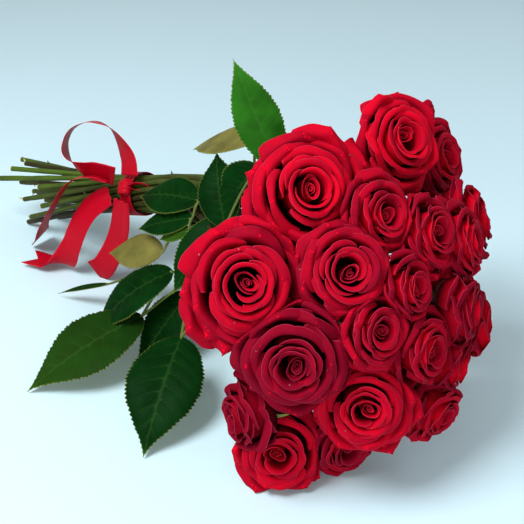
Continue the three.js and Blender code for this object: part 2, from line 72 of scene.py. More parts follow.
# around, out: place on the dome in degrees. reach: share of the dome's radius.
# width across the open flower. heading, pitch: where it faces, in degrees.
# openness: how far its outer petals lie back. darkening: how far its red is mixed towards burgundy, from
# 0 scarlet to 1 dark burgundy.
ROSES = [
    (-18, 87, 1, 97, -32, 38, 1.0, 0.0),
    (-53, 85, 1, 98, -42, 34, 1.0, 0.2),
    (-34, 58, 1, 82, -38, 38, 1.0, 0.3),
    (-74, 60, 1, 96, -52, 14, 1.0, 0.55),
    (-125, 70, 1.04, 86, -48, 16, 0.9, 0.05),
    (-98, 36, 1, 80, -48, 24, 0.9, 0.1),
    (-49, 37, 1, 68, -16, 24, 0.8, 0.3),
    (22, 83, 1.08, 88, -10, 36, 0.9, 0.0),
    (52, 84, 1.08, 82, 10, 28, 0.9, 0.3),
    (-9, 61, 1, 70, -8, 32, 0.8, 0.25),
    (6, 46, 1, 70, 8, 28, 0.8, 0.3),
    (32, 40, 1, 70, 24, 20, 0.8, 0.3),
    (-21, 36, 1, 58, 8, 24, 0.7, 0.3),
    (-51, 15, 1, 70, 0, 12, 0.8, 0.3),
    (35, 16, 1, 66, 30, 6, 0.9, 0.6),
    (147, 8, 1, 60, 24, -6, 0.8, 0.5),
    (-165, 22, 1.11, 66, -6, -8, 0.8, 0.35),
    (58, 56, 1, 74, 40, 20, 0.8, 0.4),
    (-110, 87, 0.97, 66, -112, 0, 0.7, 1.0),
    (154, 48, 0.9, 82, 22, -2, 0.9, 0.3),
    (102, 65, 0.92, 84, 62, 8, 0.9, 0.25),
    (102, 32, 0.95, 72, 48, 2, 0.9, 0.3),
    (-142, 51, 1, 74, -24, -2, 0.8, 0.4),
]

# Petals that stand out from their flower: rose number, the way they point in degrees from the
# flower's right, rim radius and height as shares of its width, lean in degrees, half width.
STRAY_PETALS = [
    (8, 190, 0.54, -0.1, 45, 0.34),
    (8, 235, 0.52, -0.14, 50, 0.34),
    (2, 215, 0.55, -0.24, 60, 0.3),
    (2, 250, 0.52, -0.22, 70, 0.3),
    (2, 62, 0.5, -0.12, 60, 0.3),
    (6, 300, 0.52, -0.2, 66, 0.34),
    (6, 350, 0.54, -0.2, 66, 0.34),
    (9, 75, 0.54, -0.08, 40, 0.34),
    (4, 330, 0.52, -0.2, 70, 0.34),
    (1, 268, 0.52, -0.2, 70, 0.32),
    (1, 205, 0.53, -0.2, 66, 0.34),
    (1, 60, 0.49, -0.12, 50, 0.32),
    (5, 330, 0.53, -0.2, 66, 0.34),
    (15, 250, 0.56, -0.1, 60, 0.38),
]

# Each leaf's stalk runs from a stem to the base of its first blade, and on from blade to blade.
# A blade runs from base to tip; facing is the way its upper side looks,
# and arch how far its middle bulges that way.
LEAVES = {
    "leaf_front": ("dark", (-138, -34, 96), [
        ((-183, -82, 46), (-218, -202, 3), 72, (0.05, -0.25, 1), 8),
        ((-176, -44, 84), (-225, -114, 20), 64, (-0.2, -0.35, 1), 10),
        ((-262, -60, 36), (-324, -85, 6), 9, (0, -0.2, 1), 2),
    ]),
    "leaf_low": ("dark", (-120, -30, 82), [
        ((-118, -88, 58), (-70, -183, 3), 70, (0.25, -0.35, 0.9), 10),
        ((-160, -36, 62), (-167, -107, 3), 50, (0.1, -0.3, 1), 5),
    ]),
    "leaf_upright": ("bright", (-112, 6, 150), [
        ((-84, 8, 216), (-143, 13, 300), 42, (0.5, -0.65, 0.35), 6),
    ]),
    "leaf_back": ("olive", (-130, 26, 150), [
        ((-128, 24, 220), (-226, 36, 172), 44, (0.15, -0.3, 0.9), 8),
    ]),
    "leaf_dark_three": ("dark", (-120, -12, 120), [
        ((-122, -22, 150), (-166, 12, 200), 46, (0.2, -0.75, 0.5), 5),
        ((-110, 10, 206), (-138, -8, 156), 44, (0.3, -0.75, 0.4), 5),
        ((-146, -4, 142), (-152, -66, 80), 42, (0.2, -0.7, 0.6), 6),
    ]),
    "leaf_by_tie": ("dark", (-150, -4, 118), [
        ((-176, -4, 148), (-264, -8, 120), 44, (0.1, -0.5, 0.9), 8),
        ((-174, -16, 135), (-242, -32, 100), 30, (0.1, -0.6, 0.8), 4),
        ((-172, -24, 124), (-208, -32, 102), 17, (0.1, -0.6, 0.8), 3),
    ]),
    "leaf_pale": ("olive", (-200, -10, 108), [
        ((-210, -27, 84), (-276, -46, 62), 40, (0.1, -0.5, 0.8), 4),
    ]),
    "leaf_far_high": ("dark", (-140, 46, 122), [
        ((-140, 76, 150), (-176, 158, 110), 58, (-0.1, 0.4, 0.9), 9),
        ((-166, 58, 148), (-240, 88, 126), 50, (-0.1, 0.2, 1), 7),
    ]),
    "leaf_far_low": ("dark", (-130, 40, 88), [
        ((-136, 72, 56), (-150, 168, 4), 62, (0, 0.4, 0.9), 9),
        ((-184, 58, 62), (-246, 118, 4), 52, (-0.2, 0.35, 0.9), 8),
    ]),
}
STALK_RISE = 4  # how high a stalk bows
STEM_RING = 7  # points of a packed stem this near each other are on one ring of it

TIE = Vector((-302, 20, 97))
BUNDLE_AXIS = Vector((0.93, 0.1, 0.31)).normalized()
WRAP_WIDTH = 26
WRAP_INSIDE = 21.5
WRAP_OUTSIDE = 23.1
KNOT_FORWARD = 8
KNOT_PROUD = 3
KNOT_SIDE = Vector((0, -0.78, 0.63))  # the side of the bundle that the knot is tied on
LOOP_OUTLINE = [
    (5, 13), (4, 31), (-5, 51), (-17, 65), (-36, 70), (-55, 62), (-63, 44), (-58, 29), (-43, 20),
    (-22, 15), (-11, 12),
]
LOOP_ACROSS = Vector((0.73, 0.68, 0))
LOOP_WIDTH_DIRECTION = Vector((0.6, -0.7, 0.38)).normalized()
# The loop twists: how its width lies at even steps along it, from its right side round to its left.
LOOP_TWIST = [
    (0.95, 0.1, 0.45), (0.92, -0.05, 0.45), (0.8, -0.4, 0.45), (0.6, -0.7, 0.38), (0.6, -0.7, 0.38),
    (0.6, -0.7, 0.38), (0.3, -0.6, 0.75), (0.0, -0.3, 0.95), (0.0, -0.3, 0.95),
]
# Each tail: its route from the knot, the direction of its width at the start and at the end,
# and the depth of the swallow tail cut into its far end.
TAILS = {
    "ribbon_tail_thin": (
        [(-13, -12, 7), (-26, -20, 12), (-42, -30, 8), (-53, -38, -2), (-64, -44, -20),
         (-80, -46, -44), (-100, -44, -70), (-118, -38, -92), (-132, -32, -106)],
        (0.6, -0.7, 0.38), (0.6, -0.7, 0.38), 0,
    ),
    "ribbon_tail_front": (
        [(-8, -15, -7), (-20, -20, -16), (-31, -27, -28), (-38, -35, -43), (-43, -42, -60),
         (-48, -47, -77), (-58, -51, -96), (-75, -54, -106), (-94, -58, -108.2), (-112, -64, -108.4)],
        (0.95, 0.1, 0.1), (0.3, 0.95, 0), 14,
    ),
    "ribbon_tail_back": (
        [(8, -13, -8), (8, -15, -24), (6, -17, -42), (1, -20, -60), (-7, -24, -80), (-17, -28, -98),
         (-29, -31, -107.5)],
        (0.95, 0.1, 0.1), (0.95, 0.3, 0), 0,
    ),
}


# ---------------------------------------------------------------- small tools


def linear(hex_colour):
    """An sRGB hex colour as four linear numbers."""
    parts = [(hex_colour >> shift & 255) / 255 for shift in (16, 8, 0)]
    return tuple(p / 12.92 if p <= 0.04045 else ((p + 0.055) / 1.055) ** 2.4 for p in parts) + (1.0,)


def unit(v):
    return v / np.maximum(np.linalg.norm(v, axis=-1, keepdims=True), 1e-12)


def grid_normals(points):
    """Normals of a grid of points, (rows, columns, 3)."""
    along = np.gradient(points, axis=0)
    across = np.gradient(points, axis=1)
    return unit(np.cross(across, along))


def shell(front, thickness, closed=False):
    """A thin closed skin: the front grid, a back grid behind it, and walls round its edge.

    thickness is a number or one for each point. closed joins the last column to the first.
    Returns the vertices, the quads facing out, and which vertices are on the back.
    """
    rows, columns = front.shape[:2]
    if closed:
        wrapped = np.concatenate([front[:, -1:], front, front[:, :1]], axis=1)
        normals = grid_normals(wrapped)[:, 1:-1]
    else:
        normals = grid_normals(front)
    back = front - normals * np.broadcast_to(np.asarray(thickness)[..., None], front.shape[:2] + (1,))
    points = np.concatenate([front.reshape(-1, 3), back.reshape(-1, 3)])
    index = np.arange(rows * columns).reshape(rows, columns)
    if closed:
        index = np.concatenate([index, index[:, :1]], axis=1)
    a, b, c, d = index[:-1, :-1], index[:-1, 1:], index[1:, 1:], index[1:, :-1]
    top = np.stack([a, b, c, d], -1).reshape(-1, 4)
    bottom = top[:, ::-1] + rows * columns
    edges = [(index[0, :-1], index[0, 1:], True), (index[-1, :-1], index[-1, 1:], False)]
    if not closed:
        edges += [(index[:-1, 0], index[1:, 0], False), (index[:-1, -1], index[1:, -1], True)]
    walls = []
    for start, end, turned in edges:
        quad = np.stack([start, end, end + rows * columns, start + rows * columns], -1)
        walls.append(quad[:, ::-1] if turned else quad)
    is_back = np.concatenate([np.zeros(rows * columns), np.ones(rows * columns)])
    return points, np.concatenate([top, bottom, *walls]), is_back


def twice(values):
    """A number for each point of a grid, for the front and the back of its shell."""
    return np.tile(np.asarray(values).reshape(-1), 2)


class Builder:
    """Gathers skins into one mesh, with a number or two for each vertex."""

    def __init__(self):
        self.points, self.faces, self.values, self.count = [], [], {}, 0

    def add(self, points, faces, **values):
        self.points.append(points)
        self.faces += (faces + self.count).tolist()
        self.count += len(points)
        for name, value in values.items():
            spread = np.broadcast_to(np.asarray(value, float), (len(points),))
            self.values.setdefault(name, []).append(spread)

    def finish(self, name, material, move=None):
        points = np.concatenate(self.points)
        if move is not None:
            points = move(points)
        mesh = bpy.data.meshes.new(name)
        mesh.from_pydata((points * MM).tolist(), [], self.faces)
        for key, parts in self.values.items():
            layer = mesh.attributes.new(key, "FLOAT", "POINT")
            layer.data.foreach_set("value", np.concatenate(parts).astype(np.float32))
        mesh.polygons.foreach_set("use_smooth", [True] * len(mesh.polygons))
        mesh.update()
        return new_piece(name, mesh, material)


def add_object(name, data):
    made = bpy.data.objects.new(name, data)
    bpy.context.scene.collection.objects.link(made)
    return made


def new_piece(name, mesh, material):
    mesh.materials.append(material)
    return add_object(name, mesh)


def hand_over(piece, slot, *nodes):
    """The piece rides with the bunch and stands for its CAD nodes. slot is not used."""
    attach(piece, BODY)
    if nodes:
        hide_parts(*nodes)


def set_inputs(tree, node, inputs):
    """Links each input of a node to a socket, or sets it to a value."""
    for key, value in inputs.items():
        socket = node.inputs[key]
        if isinstance(value, bpy.types.NodeSocket):
            tree.links.new(value, socket)
        else:
            socket.default_value = value


def add_node(tree, kind, inputs=None, **settings):
    """One node with its settings, and each input either linked to a socket or set to a value."""
    node = tree.nodes.new(kind)
    for name, value in settings.items():
        setattr(node, name, value)
    set_inputs(tree, node, inputs or {})
    return node


def new_tree(name, shape, sizes, result):
    """An empty Geometry Nodes tree: a shape, some sizes and a seed go in, and a result comes out."""
    tree = bpy.data.node_groups.new(name, "GeometryNodeTree")
    sockets = [(shape, "INPUT", "Geometry"), *((size, "INPUT", "Float") for size in sizes),
               ("Seed", "INPUT", "Int"), (result, "OUTPUT", "Geometry")]
    for label, way, kind in sockets:
        tree.interface.new_socket(label, in_out=way, socket_type="NodeSocket" + kind)
    return tree, tree.nodes.new("NodeGroupInput").outputs


def through_nodes(piece, tree, **values):
    """The piece's mesh becomes what its Geometry Nodes make of it, and the modifier goes."""
    modifier = piece.modifiers.new("rule", "NODES")
    modifier.node_group = tree
    for item in tree.interface.items_tree:
        key = item.name.replace(" ", "_").lower()
        if item.in_out == "INPUT" and key in values:
            modifier[item.identifier] = values[key]
    made = bpy.data.meshes.new_from_object(piece.evaluated_get(bpy.context.evaluated_depsgraph_get()))
    piece.modifiers.clear()
    made.name = piece.name
    piece.data = made


def route(points, count):
    """A smooth line through the points, as evenly spaced points."""
    p = np.array(points, float)
    p = np.vstack([2 * p[0] - p[1], p, 2 * p[-1] - p[-2]])
    fine = []
    for i in range(1, len(p) - 2):
        t = np.linspace(0, 1, 24, endpoint=False)[:, None]
        a, b, c, d = p[i - 1], p[i], p[i + 1], p[i + 2]
        fine.append(0.5 * (2 * b + (c - a) * t + (2 * a - 5 * b + 4 * c - d) * t**2
                           + (3 * b - a - 3 * c + d) * t**3))
    fine = np.vstack([*fine, p[-2]])
    length = np.concatenate([[0], np.cumsum(np.linalg.norm(np.diff(fine, axis=0), axis=1))])
    even = np.linspace(0, length[-1], count)
    return np.stack([np.interp(even, length, fine[:, k]) for k in range(3)], -1), length[-1]


# ---------------------------------------------------------------- where things are


def stem_line(node):
    """The middle of a CAD stem, from its cut end to its flower's base, in millimetres."""
    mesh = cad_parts[node].data
    points = np.array([v.co for v in mesh.vertices]) / MM
    points = np.unique(np.round(points, 2), axis=0)
    line = []
    here = points[points[:, 0].argmin()]
    while len(points):
        distance = np.linalg.norm(points - here, axis=1)
        here = points[distance.argmin()]
        near = np.linalg.norm(points - here, axis=1) < STEM_RING
        line.append(points[near].mean(0))
        here = line[-1]
        points = points[~near]
    return np.array(line)


def rose_places():
    """Each rose's eye, facing, base and width in the dome's own millimetres."""
    places = []
    for around, out, reach, width, heading, pitch, openness, darkening in ROSES:
        around, out, heading, pitch = map(math.radians, (around, out, heading, pitch))
        eye = reach * np.array([
            DOME_FORWARD * math.cos(out),
            DOME_ACROSS * math.sin(out) * math.sin(around),
            DOME_UP * math.sin(out) * math.cos(around),
        ])
        eye[2] += DOME_HEIGHT
        face = np.array([
            math.cos(pitch) * math.cos(heading), math.cos(pitch) * math.sin(heading), math.sin(pitch)
        ])
        places.append({
            "eye": eye, "face": face, "width": width, "openness": openness, "darkening": darkening,
            "base": eye - face * (HEAD_DEPTH * width + GAP),
            "middle": eye - face * HEAD_MIDDLE * width,
        })
    return places


ROSE_PLACES = rose_places()
STEM_NAMES = [f"stem_{i + 1:02d}" for i in range(len(ROSES))]
STEM_LINES = [stem_line(name) for name in STEM_NAMES]
# A stem ends at its flower's base, which says where the middle of the dome is in the row frame.
DOME_PLACE = np.mean([line[-1] - rose["base"] for line, rose in zip(STEM_LINES, ROSE_PLACES)], axis=0)
for rose in ROSE_PLACES:
    for key in ("eye", "base", "middle"):
        rose[key] = rose[key] + DOME_PLACE


def at(point):
    """A point of the tables in row millimetres."""
    return np.array(point, float) + DOME_PLACE


def off_the_floor(points, margin=3.0, lowest=0.15):
    """Whatever would sink into the surface lies flat on it instead."""
    out = points.copy()
    low = out[:, 2] < margin
    out[low, 2] = lowest + (margin - lowest) * np.exp((out[low, 2] - margin) / (margin - lowest))
    return out


# ---------------------------------------------------------------- settings


def colour_setting(name, description, hex_colour):
    return bpy.props.FloatVectorProperty(
        name=name, description=description, subtype="COLOR", size=4, min=0, max=1,
        default=linear(hex_colour))


def length_setting(name, description, millimetres):
    return bpy.props.FloatProperty(
        name=name, description=description, unit="LENGTH", default=millimetres * MM)


class PetalSettings(bpy.types.PropertyGroup):
    count: bpy.props.IntProperty(
        name="Petals", description="Petals of a fully open rose", default=25, min=12, max=60)
    thickness: length_setting("Thickness", "Thickness of a petal", 0.4)
    scarlet: colour_setting("Fresh red", "Upper side of a fresh petal", 0xE60424)
    burgundy: colour_setting("Burgundy", "Outside and older petals", 0x7C0620)
    # Painted sheen: the rim colour is a pale line painted along a petal's edge, where velvet catches
    # light at a slant.
    rim: colour_setting("Rim", "Thin pale line along a petal's edge", 0xC8405E)


class LeafSettings(bpy.types.PropertyGroup):
    thickness: length_setting("Thickness", "Thickness of a leaf", 0.5)
    tooth: length_setting("Tooth", "Length of one tooth of the leaf's edge", 3.6)
    dark: colour_setting("Upper side", "Upper side of a grown leaf", 0x062B0A)
    bright: colour_setting("Young leaf", "Upper side of a young leaf", 0x246016)
    olive: colour_setting("Turned leaf", "Upper side of a leaf that has turned", 0x6E6A36)
    under: colour_setting("Underside", "Dull underside of a leaf", 0x7E8B4A)
    sepal: colour_setting("Sepal", "Cup and sepals under a flower", 0x3F6A24)


class StemSettings(bpy.types.PropertyGroup):
    diameter: length_setting("Diameter", "Diameter of a stem", 6.2)
    thorn_spacing: length_setting("Thorn spacing", "Distance between thorns along a stem", 26)
    thorn_length: length_setting("Thorn length", "Length of the longest thorns", 4.5)
    green: colour_setting("Green", "Young bark", 0x465F1A)
    brown: colour_setting("Brown", "Ripe bark", 0x2C2810)


class RibbonSettings(bpy.types.PropertyGroup):
    width: length_setting("Width", "Width of the ribbon", 28)
    thickness: length_setting("Thickness", "Thickness of the ribbon", 0.35)
    red: colour_setting("Red", "Dyed satin", 0xA8031C)


class StageSettings(bpy.types.PropertyGroup):
    key_power: bpy.props.FloatProperty(
        name="Key light", description="Power of the large soft light in watts", default=29)
    floor: colour_setting("Floor", "Pale surface", 0xC8E6F1)


class BunchSettings(bpy.types.PropertyGroup):
    petals: bpy.props.PointerProperty(type=PetalSettings, name="Petals", description="Flowers")
    leaves: bpy.props.PointerProperty(type=LeafSettings, name="Leaves", description="Leaves")
    stems: bpy.props.PointerProperty(type=StemSettings, name="Stems", description="Stems")
    ribbon: bpy.props.PointerProperty(type=RibbonSettings, name="Ribbon", description="Ribbon")
    stage: bpy.props.PointerProperty(type=StageSettings, name="Stage", description="Stage")


# ---------------------------------------------------------------- materials

SHEEN_PINK = 0xFF3A6A
TURNING_GREEN = 0x5C8A22  # of a blade that is going yellow
VEIN_GREEN = 0x4F7A34
LEAF_RIM = 0x93A04A
CUT_WOOD = 0xB9B183
CUT_END = 0.002  # share of a stem's length that shows the cut wood
SATIN_EDGE = 0xE0304A


def new_material(name):
    material = bpy.data.materials.new(name)
    material.use_nodes = True
    tree = material.node_tree
    return material, tree, tree.nodes["Principled BSDF"]


def velvet_petal(settings):
    """Rose petal: cone-shaped cells scatter light, so it is deep and matt face-on, paler at a slant.

    The eye sees saturated crimson with painted shade that darkens it towards the base, fine veins,
    a burgundy outside and a hair-thin pale rim of painted sheen.
    """
    material, tree, shader = new_material("velvet_rose_petal")
    side, rim, tone, depth, across, along = (
        add_node(tree, "ShaderNodeAttribute", attribute_name=name).outputs["Fac"]
        for name in ("back", "rim_mm", "tone", "height", "across_mm", "along_mm"))
    place = add_node(tree, "ShaderNodeTexCoord").outputs["Object"]
    # Clouds of darker red a centimetre or so across.
    cloud = add_node(tree, "ShaderNodeTexNoise", {
        "Vector": place, "Scale": 1 / (14 * MM), "Detail": 3.0}).outputs["Fac"]
    darkening = add_node(tree, "ShaderNodeMath", {0: side, 1: 0.55, 2: tone}, operation="MULTIPLY_ADD")
    clouded = add_node(tree, "ShaderNodeMath", {0: cloud, 1: 0.5, 2: darkening.outputs[0]},
                       operation="MULTIPLY_ADD")
    share = add_node(tree, "ShaderNodeMapRange", {
        "Value": clouded.outputs[0], "From Min": 0.45, "From Max": 1.4})
    red = add_node(tree, "ShaderNodeMix", {
        "Factor": share.outputs[0], "A": settings.scarlet, "B": settings.burgundy}, data_type="RGBA")
    # Painted shade: the base of a petal, deep in the flower, is painted nearly black-red, where shade
    # falls.
    base = add_node(tree, "ShaderNodeMapRange", {
        "Value": depth, "From Min": 0.35, "From Max": 0.92, "To Min": 0.12, "To Max": 1.0})
    deep = add_node(tree, "ShaderNodeMix", {
        "Factor": 1.0, "A": red.outputs["Result"], "B": base.outputs[0]},
        data_type="RGBA", blend_type="MULTIPLY")
    # Painted sheen: a hair-thin pale line is painted along the rim, where the velvet catches light at a
    # slant.
    edge = add_node(tree, "ShaderNodeMapRange", {
        "Value": rim, "From Min": 0.1, "From Max": 0.6, "To Min": 0.45, "To Max": 0.0})
    colour = add_node(tree, "ShaderNodeMix", {
        "Factor": edge.outputs[0], "A": deep.outputs["Result"], "B": settings.rim}, data_type="RGBA")
    # Fine veins run from base to rim, about a millimetre apart.
    vein_place = add_node(tree, "ShaderNodeCombineXYZ", {"X": across, "Y": along})
    stretched = add_node(tree, "ShaderNodeMapping", {
        "Vector": vein_place.outputs[0], "Scale": (1.0, 0.08, 1.0)})
    veins = add_node(tree, "ShaderNodeTexNoise", {
        "Vector": stretched.outputs[0], "Scale": 1.3, "Detail": 3.0})
    bump = add_node(tree, "ShaderNodeBump", {
        "Height": veins.outputs["Fac"], "Strength": 0.35, "Distance": 0.4 * MM})
    set_inputs(tree, shader, {
        "Base Color": colour.outputs["Result"], "Normal": bump.outputs[0], "Roughness": 0.66,
        "Specular IOR Level": 0.02, "Sheen Weight": 0.03, "Sheen Roughness": 0.3,
        "Sheen Tint": linear(SHEEN_PINK)})
    return material


def waxy_leaf(name, upper, under):
    """Rose leaf: a waxed skin over a net of sunk veins; glossy above, dull and paler below."""
    material, tree, shader = new_material(name)
    side, vein, rim, ripe = (
        add_node(tree, "ShaderNodeAttribute", attribute_name=name).outputs["Fac"]
        for name in ("back", "vein", "rim_mm", "turning"))
    place = add_node(tree, "ShaderNodeTexCoord").outputs["Object"]
    # Patches of lighter green about two centimetres across.
    patch = add_node(tree, "ShaderNodeTexNoise", {
        "Vector": place, "Scale": 1 / (22 * MM), "Detail": 4.0}).outputs["Fac"]
    light = add_node(tree, "ShaderNodeMapRange", {
        "Value": patch, "From Min": 0.3, "From Max": 0.75, "To Min": 0.6, "To Max": 1.2})
    shaded = add_node(tree, "ShaderNodeMix", {"Factor": 1.0, "A": upper, "B": light.outputs[0]},
                      data_type="RGBA", blend_type="MULTIPLY")
    veined = add_node(tree, "ShaderNodeMapRange", {
        "Value": vein, "From Min": 0.4, "From Max": 1.0, "To Min": 0.0, "To Max": 0.12})
    edge = add_node(tree, "ShaderNodeMapRange", {
        "Value": rim, "From Min": 0.2, "From Max": 1.2, "To Min": 0.3, "To Max": 0.0})
    colour = shaded
    for factor, over in ((ripe, linear(TURNING_GREEN)), (veined.outputs[0], linear(VEIN_GREEN)),
                         (edge.outputs[0], linear(LEAF_RIM)), (side, under)):
        colour = add_node(tree, "ShaderNodeMix", {
            "Factor": factor, "A": colour.outputs["Result"], "B": over}, data_type="RGBA")
    dull = add_node(tree, "ShaderNodeMapRange", {"Value": side, "To Min": 0.42, "To Max": 0.75})
    # The skin between the smallest veins is quilted about a millimetre apart.
    quilt = add_node(tree, "ShaderNodeTexVoronoi", {"Vector": place, "Scale": 1 / (1.6 * MM)})
    bump = add_node(tree, "ShaderNodeBump", {
        "Height": quilt.outputs["Distance"], "Strength": 0.25, "Distance": 0.3 * MM})
    set_inputs(tree, shader, {
        "Base Color": colour.outputs["Result"], "Normal": bump.outputs[0],
        "Roughness": dull.outputs[0], "Specular IOR Level": 0.015})
    return material


def rose_bark(settings):
    """Young rose bark: smooth green skin that ripens to brown in patches; cut ends show pale wood."""
    material, tree, shader = new_material("rose_bark")
    place = add_node(tree, "ShaderNodeTexCoord").outputs["Object"]
    along, tone = (add_node(tree, "ShaderNodeAttribute", attribute_name=name).outputs["Fac"]
                   for name in ("along", "stem_tone"))
    patch = add_node(tree, "ShaderNodeTexNoise", {
        "Vector": place, "Scale": 1 / (30 * MM), "Detail": 5.0}).outputs["Fac"]
    mixed = add_node(tree, "ShaderNodeMath", {0: patch, 1: 0.7, 2: tone}, operation="MULTIPLY_ADD")
    share = add_node(tree, "ShaderNodeMapRange", {
        "Value": mixed.outputs[0], "From Min": 0.55, "From Max": 1.15})
    bark = add_node(tree, "ShaderNodeMix", {
        "Factor": share.outputs[0], "A": settings.green, "B": settings.brown}, data_type="RGBA")
    cut = add_node(tree, "ShaderNodeMath", {0: along, 1: CUT_END}, operation="LESS_THAN")
    colour = add_node(tree, "ShaderNodeMix", {
        "Factor": cut.outputs[0], "A": bark.outputs["Result"], "B": linear(CUT_WOOD)},
        data_type="RGBA")
    grain = add_node(tree, "ShaderNodeTexNoise", {"Vector": place, "Scale": 1 / (2 * MM), "Detail": 3.0})
    bump = add_node(tree, "ShaderNodeBump", {
        "Height": grain.outputs["Fac"], "Strength": 0.3, "Distance": 0.3 * MM})
    set_inputs(tree, shader, {
        "Base Color": colour.outputs["Result"], "Normal": bump.outputs[0], "Roughness": 0.5,
        "Specular IOR Level": 0.15})
    return material


def satin_ribbon(settings):
    """Polyester satin: long floats of bright yarn lie along it, so it shines in broad soft bands."""
    material, tree, shader = new_material("satin_ribbon")
    across, along, rim = (
        add_node(tree, "ShaderNodeAttribute", attribute_name=name).outputs["Fac"]
        for name in ("across_mm", "along_mm", "rim_mm"))
    edge = add_node(tree, "ShaderNodeMapRange", {
        "Value": rim, "From Min": 0.3, "From Max": 1.0, "To Min": 0.35, "To Max": 0.0})
    colour = add_node(tree, "ShaderNodeMix", {
        "Factor": edge.outputs[0], "A": settings.red, "B": linear(SATIN_EDGE)}, data_type="RGBA")
    weave = add_node(tree, "ShaderNodeCombineXYZ", {"X": across, "Y": along})
    stretched = add_node(tree, "ShaderNodeMapping", {
        "Vector": weave.outputs[0], "Scale": (2.2, 0.12, 1.0)})
    # Yarns a quarter of a millimetre apart are drawn twice as coarse, so that they show.
    yarn = add_node(tree, "ShaderNodeTexNoise", {
        "Vector": stretched.outputs[0], "Scale": 1.0, "Detail": 2.0})
    bump = add_node(tree, "ShaderNodeBump", {
        "Height": yarn.outputs["Fac"], "Strength": 0.15, "Distance": 0.2 * MM})
    set_inputs(tree, shader, {
        "Base Color": colour.outputs["Result"], "Normal": bump.outputs[0], "Roughness": 0.42,
        "Specular IOR Level": 0.08, "Anisotropic": 0.5})
    return material


def clear_water():
    """Dew: a clear bead that holds a bright point of light."""
    material, tree, shader = new_material("clear_water")
    set_inputs(tree, shader, {
        "Base Color": (1, 1, 1, 1), "Roughness": 0.02, "IOR": 1.33, "Transmission Weight": 0.9})
    return material


def matt_board(settings):
    """Painted board: an even pale matt surface."""
    material, tree, shader = new_material("matt_board")
    place = add_node(tree, "ShaderNodeTexCoord").outputs["Object"]
    grain = add_node(tree, "ShaderNodeTexNoise", {"Vector": place, "Scale": 1 / (3 * MM)})
    bump = add_node(tree, "ShaderNodeBump", {
        "Height": grain.outputs["Fac"], "Strength": 0.03, "Distance": 0.2 * MM})
    set_inputs(tree, shader, {
        "Base Color": settings.floor, "Normal": bump.outputs[0], "Roughness": 0.55})
    return material


# ---------------------------------------------------------------- flowers

# All in shares of the flower's width: how high a petal's rim stands, and how far it leans out,
# by its distance from the flower's axis.
RIM_RADII = (0.0, 0.05, 0.1, 0.2, 0.3, 0.4, 0.5)
RIM_HEIGHTS = (-0.06, -0.025, 0.0, 0.0, -0.04, -0.095, -0.17)
RIM_LEAN = (-6, 0, 8, 20, 38, 58, 76)  # degrees from upright
RIM_HALF_WIDTHS = (0.05, 0.1, 0.18, 0.27, 0.33, 0.37, 0.39)
FULLNESS = 1.1  # how much wider the rims spread than the line where their curl begins
CORE_PETALS = 5  # folded together in the middle, deep in the eye
CORE_START = 0.008
CORE_STEP = 0.024
CORE_DEPTH = 0.075
CORE_ASIDE = 0.02
FOLDED_FLAT = 0.32  # how far the middle petals are pressed together one way
RING_START = 0.13  # where the open petals begin, round the eye
RING_SPAN = 0.35
GUARD_PETALS = 4  # the lowest petals, which lie right back
GUARD_RADII = (0.45, 0.5)
GUARD_DROP = 0.1
CLOSED_COUNT = 0.75  # a closed flower shows this share of an open one's petals
PETAL_ROWS = 17
PETAL_COLUMNS = 25
ROW_CROWDING = 1.6  # rows stand closer together towards the rim, where the curl is
COLUMN_CROWDING = 0.85
PETAL_DEPTH = 0.62  # from the eye to where a petal grows
PETAL_BASE = (0.03, -0.6)  # radius and height at which a petal leaves the cup
BELLY_HEIGHT = -0.54
SIDE_OVERLAP = 0.07  # how far one side of a petal stands outside its neighbour
WIDEST_WRAP = 3.4  # radians that a narrow petal may wrap round the axis
THIN_RIM = 4  # millimetres from its rim at which a petal has its full thickness
GOLDEN_ANGLE = math.radians(137.5)
PETAL_SEED = 100
VEIN_SHIFT = 40  # millimetres between the vein patterns of one petal and the next
DEW_ROSES = (0, 1, 2, 3, 5)  # places in the list of roses
DEW_ABOVE = 0.8  # share of a petal's height
DEW_DENSITY = 260  # beads on a square metre of petal
DEW_RADIUS = 0.7
SEPALS = 5
SEPAL_ROWS = 12
SEPAL_COLUMNS = 5
CUP_SIDES = 14
CALYX_SEED = 31
CUP_OUTLINE = [  # radius and height of the green cup under a flower
    (0.036, -0.70), (0.05, -0.675), (0.075, -0.64), (0.085, -0.60), (0.07, -0.565), (0.03, -0.55),
]


def curl_back(across, along, half_width, length, fold_top, fold_side, radius, most):
    """Rolls a petal's two upper corners back round slanting lines, which leaves a point between them.

    Returns the place in the flattened petal, and how far the petal lies behind its own cup.
    """
    side = np.sign(across) + (across == 0)
    line_across = half_width
    line_along = (fold_side - fold_top) * length
    size = math.hypot(line_across, line_along)
    out_across, out_along = -line_along / size, line_across / size
    beyond = side * across * out_across + (along - fold_top * length) * out_along
    beyond = np.maximum(beyond, 0)
    turn = np.minimum(beyond / radius, most)
    straight = beyond - turn * radius
    kept = radius * np.sin(turn) + straight * math.cos(most)
    behind = radius * (1 - np.cos(turn)) + straight * math.sin(most)
    pulled = kept - beyond
    # At the point the two rolls meet, so the petal only goes straight back there.
    inward = out_across * np.abs(pulled)
    width = np.abs(across)
    return side * width**2 / (width + inward + 1e-9), along + out_along * pulled, behind


def rim_place(random, k, count, openness):
    """Rim radius, height, lean and half width of petal k, counted from the middle."""
    if k < CORE_PETALS:
        radius = CORE_START + CORE_STEP * k
    elif k < count:
        radius = RING_START + RING_SPAN * ((k - CORE_PETALS) / (count - CORE_PETALS - 1)) ** 1.1
    else:
        radius = random.uniform(*GUARD_RADII)
    radius *= 1 + random.normal(0, 0.06)
    height = np.interp(radius, RIM_RADII, RIM_HEIGHTS) + random.normal(0, 0.012)
    if k < CORE_PETALS:
        height -= CORE_DEPTH
    if k >= count:
        height -= GUARD_DROP
    lean = np.interp(radius, RIM_RADII, RIM_LEAN) * openness + random.normal(0, 5)
    half_width = np.interp(radius, RIM_RADII, RIM_HALF_WIDTHS) * random.uniform(0.9, 1.15)
    return radius, height, lean, half_width


